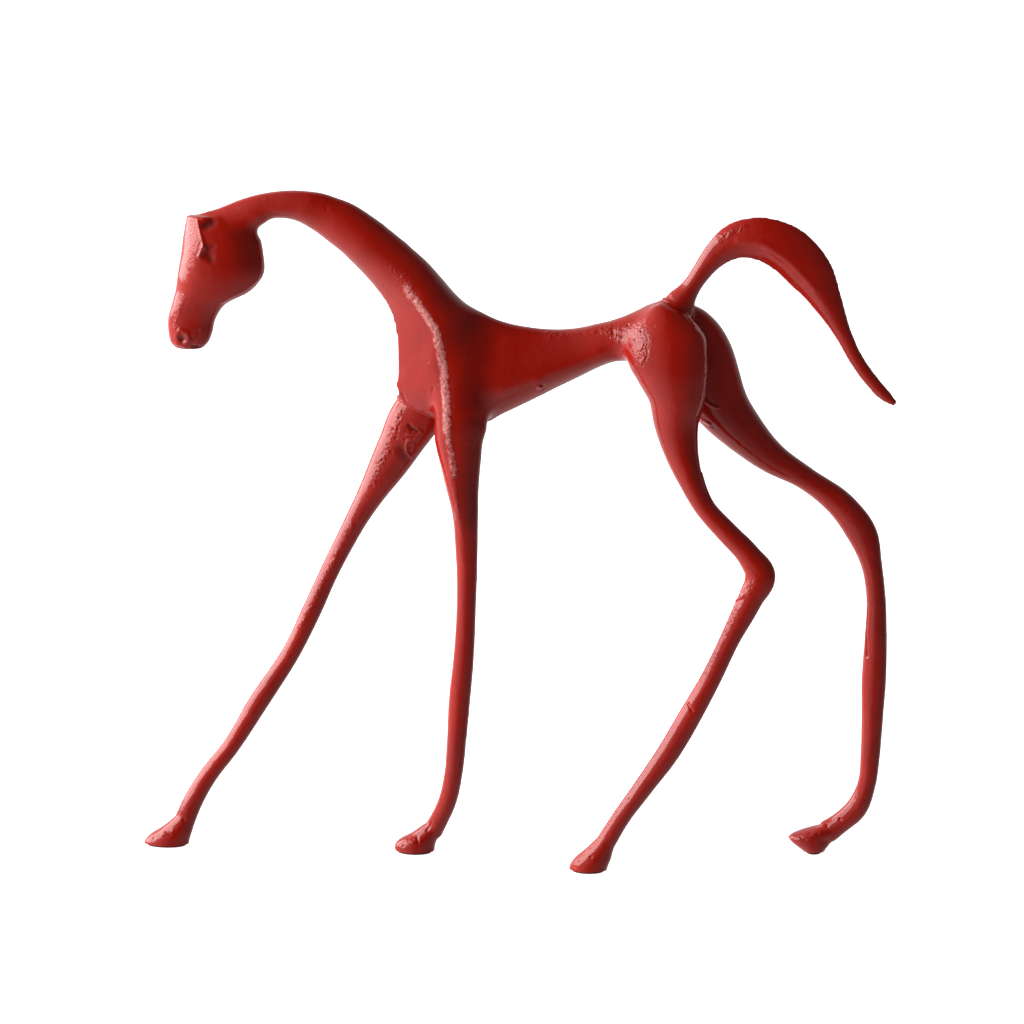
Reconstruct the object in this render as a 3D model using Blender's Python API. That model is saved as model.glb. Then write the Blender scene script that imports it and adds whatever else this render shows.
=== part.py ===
"""A long-legged foal in eight iron castings, pinned and welded together and lacquered red.

The head points to -X, the near side of the horse faces -Y and the four hooves stand on Z = 0.
Sizes are in millimetres and are turned to metres where a mesh is made.
"""

import math
from collections import namedtuple

import bmesh
import bpy
import numpy as np
from mathutils import Matrix, Vector
from mathutils.bvhtree import BVHTree

MM = 0.001

# A station is one cross-section of a limb: its centre, its half depth in the side view and its
# half width across the horse. It is widest along a ridge, so far from its middle towards the front
# or the underside as a share of its half depth. Before and behind the ridge it is flat at 1, round
# at 2, and boxy above that.
Station = namedtuple("Station", "x y z deep wide back ridge front", defaults=(2.0, 0.0, 2.0))

# The pattern that the castings are cut from
RING_POINTS = 28
RING_STEP = 3.0
SKIN_GRID = 1.6
SKIN_PASSES = 3
BLEND_PASSES = 26
EVEN_OUT = 0.6
PUSH_BACK = 0.62
SKIN_GROWTH = 0.2
SKIN_TRIANGLES = 8000
LEG_TRIANGLES = 1000

# Joints between the castings
JOINT_GAP = 0.3
DOWEL_CLEARANCE = 0.25
DOWEL_END_ROOM = 0.5
DOWEL_CHAMFER = 0.4
DOWEL_SIDES = 16

# Weld beads, seated in grooves
BEAD_CLEARANCE = 0.3
BEAD_LUMPS = 0.14
BEAD_SIDES = 8

# Pads under the hooves
PAD_THICKNESS = 1.0
PAD_INSET = 1.6
PAD_POINTS = 24
PAD_SEAT_GAP = 0.3
SOLE_HEIGHT = PAD_THICKNESS + PAD_SEAT_GAP
SOLE_SEARCH_STEP = 0.5

# Plug in the belly, where the core was held
PLUG_RADIUS = 1.9
PLUG_LENGTH = 5.0
PLUG_STANDS_PROUD = 0.6
PLUG_CLEARANCE = 0.3
PLUG_CHAMFER = 0.4
PLUG_AT = (16.5, -7.6, 262.5)
PLUG_WAY = (0.0, -0.62, -0.78)

HEAD = [
    Station(-157.6, 0, 347.4, 13.0, 7.0, 3.0, 0.3, 1.3),
    Station(-153.0, 0, 338.5, 19.4, 10.5, 3.2, 0.4, 1.2),
    Station(-152.2, 0, 326.8, 21.9, 12.0, 3.2, 0.45, 1.2),
    Station(-153.3, 0, 316.1, 22.7, 12.0, 3.2, 0.45, 1.2),
    Station(-157.2, 0, 308.0, 20.0, 10.8, 3.0, 0.42, 1.2),
    Station(-165.5, 0, 300.0, 14.0, 9.2, 2.8, 0.35, 1.3),
    Station(-169.2, 0, 292.0, 12.5, 8.2, 2.8, 0.3, 1.4),
    Station(-170.1, 0, 284.0, 11.3, 7.8, 2.6, 0.2, 1.6),
    Station(-170.8, 0, 279.0, 9.4, 6.5, 2.3, 0.1, 1.8),
    Station(-170.8, 0, 276.6, 6.8, 4.8, 2.0, 0.0, 2.0),
]
# The neck and the barrel are one spine. Each of its sections lies between a point on the crest and
# one on the keel in the side view, so that the sections fan out round the chest.
Section = namedtuple("Section", "crest_x crest_z keel_x keel_z wide back ridge front")
SPINE = [
    Section(-168.0, 346.8, -162.0, 325.0, 5.4, 2.0, 0.0, 2.0),
    Section(-160.5, 349.2, -155.0, 327.0, 6.2, 2.0, 0.0, 2.0),
    Section(-154.5, 350.9, -148.5, 331.5, 6.8, 2.0, 0.0, 2.0),
    Section(-148.2, 353.5, -141.5, 335.0, 6.8, 2.0, 0.1, 2.0),
    Section(-141.6, 356.1, -134.8, 339.0, 6.6, 2.2, 0.2, 1.8),
    Section(-129.0, 359.5, -126.0, 345.9, 6.0, 2.4, 0.3, 1.6),
    Section(-114.5, 361.1, -116.3, 346.3, 6.4, 2.4, 0.3, 1.6),
    Section(-96.5, 359.4, -105.5, 341.9, 7.5, 2.4, 0.3, 1.6),
    Section(-79.5, 353.0, -92.0, 331.8, 9.0, 2.4, 0.3, 1.5),
    Section(-64.9, 342.9, -80.0, 320.9, 10.2, 2.3, 0.25, 1.4),
    Section(-53.0, 333.1, -70.2, 309.8, 11.6, 2.1, 0.15, 1.25),
    Section(-43.0, 323.8, -63.8, 300.0, 13.2, 2.0, 0.0, 1.1),
    Section(-35.6, 315.5, -60.5, 289.4, 14.6, 2.0, -0.18, 1.05),
    Section(-29.2, 308.1, -59.4, 278.0, 15.6, 2.0, -0.26, 1.02),
    Section(-23.3, 302.8, -59.3, 267.0, 16.2, 2.0, -0.25, 1.02),
    Section(-18.0, 299.8, -59.9, 256.5, 16.2, 2.0, -0.12, 1.05),
    Section(-15.0, 298.4, -56.0, 248.0, 16.0, 2.0, 0.05, 1.15),
    Section(-12.5, 297.2, -46.0, 242.5, 15.6, 2.0, 0.2, 1.3),
    Section(-8.5, 295.4, -28.0, 240.2, 15.0, 2.0, 0.3, 1.35),
    Section(-4.0, 293.8, -13.0, 239.5, 14.4, 2.0, 0.3, 1.35),
    Section(1.2, 292.4, -3.7, 244.5, 13.7, 2.1, 0.35, 1.3),
    Section(7.5, 291.3, 5.2, 248.9, 13.0, 2.1, 0.35, 1.3),
    Section(16.0, 290.3, 15.2, 254.1, 12.3, 2.1, 0.35, 1.3),
    Section(26.5, 290.1, 25.7, 259.6, 11.6, 2.1, 0.35, 1.3),
    Section(36.0, 291.1, 36.7, 265.2, 10.9, 2.1, 0.35, 1.35),
    Section(45.4, 293.3, 46.3, 270.3, 10.5, 2.1, 0.3, 1.5),
    Section(54.8, 296.3, 54.6, 273.5, 10.8, 2.0, 0.2, 1.7),
    Section(64.2, 300.3, 62.4, 274.0, 11.6, 2.0, 0.1, 1.9),
    Section(73.0, 304.6, 70.0, 275.0, 12.0, 2.0, 0.0, 2.0),
    Section(80.0, 307.2, 78.0, 277.0, 11.0, 2.0, 0.0, 2.0),
]
NEAR_FORELEG = [
    Station(-36.0, -4, 296.0, 9.0, 8.0, 2.0, 0.3, 1.4),
    Station(-30.0, -7, 279.0, 13.5, 8.5, 2.2, 0.4, 1.2),
    Station(-26.0, -9, 261.0, 14.8, 8.5, 2.2, 0.5, 1.2),
    Station(-24.7, -10, 245.0, 14.6, 9.0, 2.2, 0.55, 1.2),
    Station(-25.9, -10, 232.0, 12.8, 9.0, 2.2, 0.5, 1.3),
    Station(-25.2, -10, 221.0, 11.0, 8.5, 2.2, 0.45, 1.4),
    Station(-24.2, -10, 208.0, 8.9, 7.8, 2.1, 0.4, 1.5),
    Station(-22.6, -10, 191.6, 6.8, 6.4, 2.1, 0.3, 1.6),
    Station(-22.2, -9.5, 178.0, 6.1, 5.8, 2.0, 0.2, 1.7),
    Station(-22.0, -9, 158.7, 5.4, 5.2, 2.0, 0.1, 1.8),
    Station(-22.5, -8.5, 139.0, 5.1, 5.0),
    Station(-23.9, -8, 114.0, 5.4, 5.0),
    Station(-26.4, -7, 89.0, 5.7, 5.2),
    Station(-28.1, -6.5, 66.6, 5.2, 4.9),
    Station(-30.2, -4.5, 46.6, 4.9, 4.6),
    Station(-33.8, -2.5, 30.5, 4.9, 4.6),
    Station(-38.8, -0.5, 19.0, 5.0, 4.7),
    Station(-42.6, 1, 11.6, 5.4, 5.0),
]
FAR_FORELEG = [
    Station(-40.5, 7, 257.0, 13.4, 9.0),
    Station(-46.6, 7.5, 247.0, 13.6, 9.0),
    Station(-53.3, 8, 236.8, 13.4, 9.0),
    Station(-59.4, 8.5, 225.7, 11.7, 8.5),
    Station(-65.8, 9, 214.3, 10.2, 8.0),
    Station(-74.7, 9, 199.1, 7.5, 7.0),
    Station(-83.3, 9, 184.0, 5.9, 5.8),
    Station(-91.0, 9, 169.4, 5.3, 5.2),
    Station(-98.4, 8, 154.5, 5.0, 4.8),
    Station(-108.3, 7, 132.6, 5.2, 4.8),
    Station(-118.7, 6, 111.0, 4.9, 4.7),
    Station(-138.1, 4, 80.6, 5.4, 5.0),
    Station(-153.0, 2, 56.3, 4.7, 4.6),
    Station(-166.1, 0.5, 39.0, 4.9, 4.8),
    Station(-174.9, -0.5, 23.6, 5.4, 5.0),
    Station(-179.5, -1, 12.6, 5.7, 5.2),
]
NEAR_HIND_LEG = [
    Station(77.0, -5, 304.0, 4.0, 5.0),
    Station(79.3, -8, 297.0, 14.0, 9.0),
    Station(82.0, -11, 285.0, 21.2, 12.5),
    Station(86.0, -13, 272.0, 18.9, 13.5),
    Station(88.6, -13, 259.0, 15.3, 12.6),
    Station(88.6, -13, 244.0, 11.7, 10.8),
    Station(91.8, -15, 228.0, 8.7, 8.4),
    Station(96.6, -17.5, 215.0, 6.5, 6.8),
    Station(103.9, -18, 201.0, 5.4, 5.6),
    Station(116.3, -19, 187.4, 5.7, 5.2),
    Station(127.6, -19.5, 175.6, 6.3, 5.2),
    Station(133.7, -20, 165.3, 8.0, 5.4),
    Station(128.9, -20.5, 152.8, 6.6, 5.2),
    Station(125.2, -20.7, 144.8, 6.2, 5.1),
    Station(119.8, -21, 133.7, 5.4, 5.0),
    Station(108.3, -21.5, 108.2, 5.4, 5.0),
    Station(98.3, -22, 88.9, 6.0, 5.2),
    Station(86.9, -22, 68.1, 6.0, 5.2),
    Station(73.4, -22, 47.8, 5.2, 5.0),
    Station(61.8, -21.5, 30.5, 4.8, 4.8),
    Station(54.2, -21, 17.3, 5.2, 5.0),
]
FAR_HIND_LEG = [
    Station(86.0, 5, 302.0, 4.0, 5.0),
    Station(89.0, 8, 296.0, 11.0, 9.0),
    Station(93.0, 9.5, 288.5, 15.0, 11.5),
    Station(98.5, 11, 277.5, 17.0, 13.0),
    Station(103.9, 12, 261.2, 17.3, 13.0),
    Station(112.2, 12.5, 246.9, 14.2, 12.0),
    Station(121.4, 13.5, 236.0, 11.8, 10.7),
    Station(136.6, 15, 221.6, 8.5, 8.2),
    Station(156.1, 16.5, 209.5, 6.1, 6.5),
    Station(175.3, 17.5, 194.8, 7.4, 6.2),
    Station(186.2, 18, 179.8, 7.9, 5.8),
    Station(191.6, 18.5, 162.9, 5.5, 5.4),
    Station(194.4, 19, 143.6, 5.1, 5.2),
    Station(194.7, 19.5, 121.6, 5.9, 5.3),
    Station(194.2, 20, 99.1, 6.5, 5.3),
    Station(193.9, 20.5, 76.7, 5.7, 5.2),
    Station(193.3, 21, 56.7, 5.2, 5.0),
    Station(191.6, 21.5, 39.4, 4.9, 4.9),
    Station(186.1, 22, 25.5, 5.9, 5.2),
    Station(177.5, 22.5, 17.0, 5.7, 5.2),
    Station(170.7, 23, 11.5, 6.4, 5.6),
]
TAIL = [
    Station(86.0, 0, 299.5, 10.4, 7.0),
    Station(89.3, 0, 305.5, 8.1, 6.5),
    Station(91.5, 0, 309.0, 6.3, 5.8),
    Station(94.0, 0, 312.6, 5.1, 5.0),
    Station(99.9, 0, 321.5, 5.0, 4.5),
    Station(108.2, 0, 331.7, 7.0, 4.8, 1.9, 0.0, 1.7),
    Station(117.6, 0, 338.2, 9.6, 5.4, 1.7, 0.1, 1.4),
    Station(130.3, 0, 339.4, 11.3, 6.2, 1.6, 0.15, 1.3),
    Station(143.7, 0, 334.3, 12.5, 6.8, 1.6, 0.2, 1.3),
    Station(156.4, 0, 321.8, 11.7, 6.2, 1.6, 0.2, 1.3),
    Station(165.9, 0, 306.1, 7.6, 4.9, 1.7, 0.15, 1.5),
    Station(173.9, 0, 290.5, 4.3, 3.6),
    Station(181.0, 0, 277.1, 3.6, 3.0),
    Station(189.3, 0, 265.8, 3.4, 2.8),
    Station(196.9, 0, 257.8, 2.9, 2.2),
    Station(202.1, 0, 253.9, 1.4, 1.1),
]

# Hooves, as level sections from the coronet down past the sole
NEAR_FORE_HOOF = [
    Station(-41.8, 1, 15.8, 5.4, 4.9),
    Station(-46.5, 1, 10.3, 8.0, 6.4),
    Station(-50.8, 1, 6.5, 10.4, 7.5),
    Station(-52.5, 1, 2.5, 11.1, 7.6),
    Station(-51.4, 1, -2.0, 9.6, 7.0),
]
FAR_FORE_HOOF = [
    Station(-178.4, -1, 16.5, 5.4, 5.0),
    Station(-183.3, -1, 9.6, 8.9, 6.5),
    Station(-187.0, -1, 5.6, 11.3, 7.5),
    Station(-189.3, -1, 1.3, 12.4, 7.6),
    Station(-189.3, -1, -2.0, 12.4, 7.6),
]
NEAR_HIND_HOOF = [
    Station(54.4, -21, 18.8, 5.2, 4.9),
    Station(50.4, -20.7, 12.3, 7.4, 6.2),
    Station(46.0, -20.5, 5.6, 10.0, 7.4),
    Station(44.2, -20.5, 1.3, 10.2, 7.6),
    Station(44.2, -20.5, -2.0, 10.2, 7.6),
]
FAR_HIND_HOOF = [
    Station(170.5, 23, 14.5, 6.6, 5.6),
    Station(164.8, 23, 11.4, 9.8, 7.0),
    Station(161.8, 23, 8.4, 11.8, 7.4),
    Station(162.8, 23, 4.6, 9.4, 7.2),
    Station(163.9, 23, 1.3, 5.8, 6.4),
    Station(164.6, 23, -2.0, 4.6, 5.0),
]

# Saw cuts through the pattern: the middle of the cut, the way across it, and its half sizes
Cut = namedtuple("Cut", "x y z slope half_long half_wide")
HEAD_CUT = Cut(-136.6, 0, 349.0, 30, 14, 14)
NECK_CUT = Cut(-57.5, 0, 317.5, -48, 21, 20)
NEAR_FORELEG_CUT = Cut(-25.0, -10, 231.0, -90, 18, 14)
LOIN_CUT = Cut(57.0, 0, 285.0, 0, 20, 24)
TAIL_CUT = Cut(89.2, 0, 305.2, 78, 11.5, 13)
MIDLINE_CUT = Cut(104.0, 0, 275.0, 0, 60, 80)
CHEST_SEAT = Cut(-49.0, 7.5, 246.2, -114, 18, 9)
SEAT_SIDE_GAP = 0.6

# Where castings run into each other smoothly: centre and reach of the softening
Blend = namedtuple("Blend", "x y z reach")
BLENDS = [
    Blend(-141, 0, 342, 12),
    Blend(-28, -15, 262, 26),
    Blend(-12, -12, 250, 12),
    Blend(66, -6, 290, 22),
    Blend(66, 8, 288, 20),
    Blend(80, 0, 303, 9),
]

# Dowels: radius and length
HEAD_DOWEL = (1.75, 14.0)
NECK_DOWEL = (3.0, 22.0)
FORELEG_DOWEL = (3.0, 22.0)
LOIN_DOWEL = (2.0, 18.0)
LOIN_DOWEL_SIDE = 5.2
HAUNCH_DOWEL = (3.0, 14.0)
HAUNCH_DOWEL_AT = (89.0, 0.0, 278.0)
TAIL_DOWEL = (2.0, 14.0)

# Weld beads, and the level line that the crotch bead lies above
FAR_FORELEG_BEAD_RADIUS = 1.4
FAR_FORELEG_BEAD_POINTS = 30
TAIL_BEAD_RADIUS = 0.8
TAIL_BEAD_POINTS = 24
CROTCH_BEAD_RADIUS = 1.5
CROTCH_BEAD_POINTS = 11
CROTCH_BEAD_START = (86, 0, 200)
CROTCH_BEAD_END = (111, 0.2, 200)


def clear_scene():
    for thing in list(bpy.data.objects):
        bpy.data.objects.remove(thing, do_unlink=True)


def finish_material(name, colour, roughness, metallic):
    material = bpy.data.materials.new(name)
    material.use_nodes = True
    shader = material.node_tree.nodes["Principled BSDF"]
    shader.inputs["Base Color"].default_value = (*colour, 1)
    shader.inputs["Roughness"].default_value = roughness
    shader.inputs["Metallic"].default_value = metallic
    return material


def add_object(name, mesh, material=None):
    thing = bpy.data.objects.new(name, mesh)
    bpy.context.scene.collection.objects.link(thing)
    if material:
        mesh.materials.clear()
        mesh.materials.append(material)
    return thing


def hide(thing):
    thing.hide_render = True
    thing.display_type = "WIRE"
    return thing


def evaluated_mesh(thing):
    bpy.context.view_layer.update()
    graph = bpy.context.evaluated_depsgraph_get()
    return bpy.data.meshes.new_from_object(thing.evaluated_get(graph))


def along(stations, step, places=3):
    """The stations with smooth ones between them, a step apart by their leading fields."""
    rows = np.array(stations, float)
    steps = np.linalg.norm(np.diff(rows[:, :places], axis=0), axis=1)
    length = np.concatenate([[0], np.cumsum(steps)])
    slope = np.gradient(rows, length, axis=0)
    made = []
    for k in range(len(rows) - 1):
        span = length[k + 1] - length[k]
        for t in np.arange(0, 1, 1 / max(2, round(span / step))):
            made.append(
                (2 * t**3 - 3 * t**2 + 1) * rows[k]
                + (t**3 - 2 * t**2 + t) * span * slope[k]
                + (3 * t**2 - 2 * t**3) * rows[k + 1]
                + (t**3 - t**2) * span * slope[k + 1]
            )
    made.append(rows[-1])
    return np.array(made)


def rounded(angle, power):
    """The unit superellipse at an angle."""
    c, s = math.cos(angle), math.sin(angle)
    return math.copysign(abs(c) ** (2 / power), c), math.copysign(abs(s) ** (2 / power), s)


def limb(stations, level=False):
    """The rings of a limb: the middle, the way to the front, the way across and the shape of each."""
    rows = along(stations, RING_STEP)
    across = Vector((0, 1, 0))
    rings = []
    for row, tangent in zip(rows, np.gradient(rows[:, :3], axis=0)):
        deep = Vector((-1, 0, 0)) if level else across.cross(Vector(tangent)).normalized()
        wide = across if level else Vector(tangent).cross(deep).normalized()
        reach = deep * (row[3] + SKIN_GROWTH)
        rings.append((Vector(row[:3]), reach, wide * (row[4] + SKIN_GROWTH), row[5:]))
    return rings


def spine(sections):
    """The rings of the spine."""
    rings = []
    for row in along(sections, RING_STEP, places=4):
        crest, keel = Vector((row[0], 0, row[1])), Vector((row[2], 0, row[3]))
        reach = (keel - crest) / 2
        reach += reach.normalized() * SKIN_GROWTH
        wide = Vector((0, row[4] + SKIN_GROWTH, 0))
        rings.append(((crest + keel) / 2, reach, wide, row[5:]))
    return rings


def loft(rings):
    """Vertices and faces of a closed skin through rings."""
    verts, faces = [], []
    for centre, reach, wide, (back, ridge, front) in rings:
        for k in range(RING_POINTS):
            angle = 2 * math.pi * k / RING_POINTS
            forward = math.cos(angle) > 0
            u, v = rounded(angle, front if forward else back)
            u = ridge + u * (1 - ridge if forward else 1 + ridge)
            verts.append((centre + reach * u + wide * v) * MM)
    last = len(rings) - 1
    for r in range(last):
        for k in range(RING_POINTS):
            a, b = r * RING_POINTS + k, r * RING_POINTS + (k + 1) % RING_POINTS
            faces.append((a, b, b + RING_POINTS, a + RING_POINTS))
    faces.append(tuple(range(RING_POINTS))[::-1])
    faces.append(tuple(last * RING_POINTS + k for k in range(RING_POINTS)))
    return verts, faces


def mesh_of(name, shells):
    """One mesh of several closed shells, facing out."""
    form = bmesh.new()
    for verts, faces in shells:
        made = [form.verts.new(v) for v in verts]
        for face in faces:
            form.faces.new([made[i] for i in face])
    bmesh.ops.recalc_face_normals(form, faces=form.faces)
    mesh = bpy.data.meshes.new(name)
    form.to_mesh(mesh)
    form.free()
    return mesh


def box_mesh(name, frame, low, high):
    """A box between two corners given in the axes of a frame."""
    form = bmesh.new()
    size = Vector(high) - Vector(low)
    middle = (Vector(high) + Vector(low)) / 2
    place = frame @ Matrix.Translation(middle) @ Matrix.Diagonal((*size, 1))
    bmesh.ops.create_cube(form, size=1, matrix=Matrix.Scale(MM, 4) @ place)
    mesh = bpy.data.meshes.new(name)
    form.to_mesh(mesh)
    form.free()
    return mesh


def rod_mesh(name, frame, radius, low, high, chamfer=0.0, sides=DOWEL_SIDES):
    """A round rod along the X axis of a frame, its ends chamfered."""
    rings = [(low, radius - chamfer), (high, radius - chamfer)]
    if chamfer:
        rings[1:1] = [(low + chamfer, radius), (high - chamfer, radius)]
    verts, faces = [], []
    for at, r in rings:
        for k in range(sides):
            a = 2 * math.pi * k / sides
            verts.append(frame @ Vector((at, r * math.cos(a), r * math.sin(a))) * MM)
    for i in range(len(rings) - 1):
        for k in range(sides):
            a, b = i * sides + k, i * sides + (k + 1) % sides
            faces.append((a, b, b + sides, a + sides))
    faces.append(tuple(range(sides)))
    faces.append(tuple((len(rings) - 1) * sides + k for k in range(sides)))
    return mesh_of(name, [(verts, faces)])


def cut_frame(cut):
    """Axes on a cut, with X across it, turned up from +X by its slope."""
    turn = Matrix.Rotation(-math.radians(cut.slope), 4, "Y")
    return Matrix.Translation((cut.x, cut.y, cut.z)) @ turn


def saw(cut):
    frame = cut_frame(cut)
    low = (-JOINT_GAP / 2, -cut.half_wide, -cut.half_long)
    high = (JOINT_GAP / 2, cut.half_wide, cut.half_long)
    return box_mesh("saw", frame, low, high)


def subtract(thing, mesh):
    """Cuts a mesh out of an object for good."""
    cutter = hide(add_object("cutter", mesh))
    modifier = thing.modifiers.new("cut", "BOOLEAN")
    modifier.operation = "DIFFERENCE"
    # The exact solver loses this skin, whose small triangles lie nearly flat on each other
    modifier.solver = "MANIFOLD"
    modifier.object = cutter
    thing.data = evaluated_mesh(thing)
    thing.modifiers.clear()
    bpy.data.objects.remove(cutter, do_unlink=True)


def relaxed(mesh, blends, passes, everywhere):
    """Evens a fine mesh out: a little everywhere, and more where castings run together."""
    count = len(mesh.vertices)
    points = np.empty(count * 3)
    mesh.vertices.foreach_get("co", points)
    points = points.reshape(-1, 3)
    ends = np.empty(len(mesh.edges) * 2, int)
    mesh.edges.foreach_get("vertices", ends)
    ends = ends.reshape(-1, 2)
    weight = np.zeros(count)
    for blend in blends:
        centre = np.array([blend.x, blend.y, blend.z]) * MM
        near = 1 - np.linalg.norm(points - centre, axis=1) / (blend.reach * MM)
        weight = np.maximum(weight, np.clip(near * 2, 0, 1))
    neighbours = np.bincount(ends.ravel(), minlength=count)[:, None]
    # Even passes push back out, so that thin legs keep their size
    moves = [(EVEN_OUT if k % 2 == 0 else -PUSH_BACK, 1.0) for k in range(2 * everywhere)]
    moves += [(EVEN_OUT, weight[:, None])] * passes
    for amount, share in moves:
        total = np.zeros_like(points)
        np.add.at(total, ends[:, 0], points[ends[:, 1]])
        np.add.at(total, ends[:, 1], points[ends[:, 0]])
        points += amount * share * (total / neighbours - points)
    mesh.vertices.foreach_set("co", points.ravel())
    mesh.update()


def skin(name, shells, blends, triangles):
    """One closed skin round several overlapping shells, blended, and thinned to a count."""
    thing = add_object(name, mesh_of(name, shells))
    remesh = thing.modifiers.new("skin", "REMESH")
    remesh.mode = "VOXEL"
    remesh.voxel_size = SKIN_GRID * MM
    thing.data = evaluated_mesh(thing)
    thing.modifiers.clear()
    relaxed(thing.data, blends, BLEND_PASSES if blends else 0, SKIN_PASSES)
    thin = thing.modifiers.new("thin", "DECIMATE")
    thin.ratio = triangles / (2 * len(thing.data.polygons))
    thing.data = evaluated_mesh(thing)
    thing.modifiers.clear()
    return thing


def islands(thing):
    """The separate closed bodies of an object, each as a mesh, with its middle."""
    form = bmesh.new()
    form.from_mesh(thing.data)
    form.verts.index_update()
    left = set(form.verts)
    found = []
    while left:
        group, queue = set(), [left.pop()]
        while queue:
            vert = queue.pop()
            group.add(vert)
            for edge in vert.link_edges:
                other = edge.other_vert(vert)
                if other in left:
                    left.remove(other)
                    queue.append(other)
        found.append(group)
    made = []
    for group in sorted(found, key=len, reverse=True):
        part = form.copy()
        keep = {vert.index for vert in group}
        part.verts.index_update()
        drop = [vert for vert in part.verts if vert.index not in keep]
        bmesh.ops.delete(part, geom=drop, context="VERTS")
        mesh = bpy.data.meshes.new("piece")
        part.to_mesh(mesh)
        part.free()
        middle = sum((vert.co for vert in group), Vector()) / len(group)
        made.append((mesh, middle))
    form.free()
    return made


def split(thing, places, material):
    """Names the bodies of a sawn object by the place that each lies nearest to."""
    pieces = islands(thing)
    made = {}
    for name, place in places.items():
        spot = Vector(place) * MM
        mesh = min(pieces, key=lambda piece: (piece[1] - spot).length)[0]
        mesh.name = name
        made[name] = add_object(name, mesh, material)
    bpy.data.objects.remove(thing, do_unlink=True)
    return made


def dowel(name, frame, size, holders, material):
    """A steel dowel across a joint, and the blind holes for it."""
    radius, length = size
    half = length / 2
    for holder in holders:
        room = half + DOWEL_END_ROOM
        subtract(holder, rod_mesh("hole", frame, radius + DOWEL_CLEARANCE, -room, room))
    add_object(name, rod_mesh(name, frame, radius, -half, half, DOWEL_CHAMFER), material)


def bead_shell(points, radius, grow, closed):
    """A tube along points with the lumps of a hand-laid weld, grown all over by a clearance."""
    points = [Vector(p) for p in points]
    count = len(points)
    verts, faces = [], []
    for i, centre in enumerate(points):
        ahead = points[(i + 1) % count] if closed else points[min(i + 1, count - 1)]
        behind = points[i - 1] if closed or i else points[0]
        way = (ahead - behind).normalized()
        side = way.orthogonal() if i == 0 else (side - way * side.dot(way))
        side.normalize()
        up = way.cross(side)
        r = radius * (1 + BEAD_LUMPS * math.sin(i * 2.4) * math.cos(i * 0.9)) + grow
        if not closed and i in (0, count - 1):
            r = radius * 0.5 + grow
            centre = centre + way * grow * (1 if i else -1)
        for k in range(BEAD_SIDES):
            a = 2 * math.pi * k / BEAD_SIDES
            verts.append((centre + side * r * math.cos(a) + up * r * math.sin(a)) * MM)
    for i in range(count if closed else count - 1):
        for k in range(BEAD_SIDES):
            a, b = i * BEAD_SIDES + k, i * BEAD_SIDES + (k + 1) % BEAD_SIDES
            c, d = (b + BEAD_SIDES) % len(verts), (a + BEAD_SIDES) % len(verts)
            faces.append((a, b, c, d))
    if not closed:
        faces.append(tuple(range(BEAD_SIDES)))
        faces.append(tuple((count - 1) * BEAD_SIDES + k for k in range(BEAD_SIDES)))
    return verts, faces


def weld(name, points, radius, holders, material, closed=True):
    """A weld bead, and the groove that it lies in."""
    groove = bead_shell(points, radius, BEAD_CLEARANCE, closed)
    for holder in holders:
        subtract(holder, mesh_of("groove", [groove]))
    add_object(name, mesh_of(name, [bead_shell(points, radius, 0.0, closed)]), material)


def surface(thing):
    return BVHTree.FromPolygons(
        [v.co / MM for v in thing.data.vertices], [p.vertices[:] for p in thing.data.polygons]
    )


def ring_round(skin_tree, frame, count):
    """Points on the skin all round a joint, in the plane of its frame."""
    ring = []
    for k in range(count):
        a = 2 * math.pi * k / count
        way = frame.to_3x3() @ Vector((0, math.cos(a), math.sin(a)))
        ring.append(skin_tree.ray_cast(frame.translation, way)[0])
    return ring


def line_under(skin_tree, start, end, count):
    """Points along the underside of the skin, straight above a line."""
    start, end = Vector(start), Vector(end)
    spots = [start.lerp(end, k / (count - 1)) for k in range(count)]
    return [skin_tree.ray_cast(spot, Vector((0, 0, 1)))[0] for spot in spots]


def centre_all():
    """Moves the finished horse sideways until its box stands in the middle of the origin."""
    things = bpy.data.objects[:]
    corners = np.array([v.co for thing in things for v in thing.data.vertices])
    middle = (corners.min(axis=0) + corners.max(axis=0)) / 2
    for thing in things:
        thing.data.transform(Matrix.Translation((-middle[0], -middle[1], 0)))


def sole_of(hoof):
    """The section of a hoof at the height of its sole."""
    rows = along(hoof, SOLE_SEARCH_STEP)
    return Station(*min(rows, key=lambda row: abs(row[2] - SOLE_HEIGHT)))


def flat_sole(thing, hoof):
    """Cuts a hoof off level at the height that its pad leaves."""
    foot = sole_of(hoof)
    frame = Matrix.Translation((foot.x, foot.y, SOLE_HEIGHT))
    reach = 2 * foot.deep
    subtract(thing, box_mesh("floor", frame, (-reach, -reach, -reach), (reach, reach, 0)))


def pad(name, hoof, material):
    """A thin pad of the sole's own shape, a little smaller all round."""
    foot = sole_of(hoof)
    form = bmesh.new()
    ring = []
    for k in range(PAD_POINTS):
        u, v = rounded(2 * math.pi * k / PAD_POINTS, foot.back)
        at = Vector((foot.x + u * (foot.deep - PAD_INSET), foot.y + v * (foot.wide - PAD_INSET), 0))
        ring.append(form.verts.new(at * MM))
    form.faces.new(ring)
    made = bmesh.ops.extrude_face_region(form, geom=form.faces[:])["geom"]
    lifted = [item for item in made if isinstance(item, bmesh.types.BMVert)]
    bmesh.ops.translate(form, verts=lifted, vec=(0, 0, PAD_THICKNESS * MM))
    bmesh.ops.recalc_face_normals(form, faces=form.faces)
    mesh = bpy.data.meshes.new(name)
    form.to_mesh(mesh)
    form.free()
    add_object(name, mesh, material)


clear_scene()
lacquer = finish_material("red_lacquered_iron", (0.32, 0.012, 0.008), 0.32, 0.0)
steel = finish_material("plain_steel", (0.55, 0.55, 0.54), 0.35, 1.0)
rubber = finish_material("black_rubber", (0.02, 0.018, 0.018), 0.8, 0.0)

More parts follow.
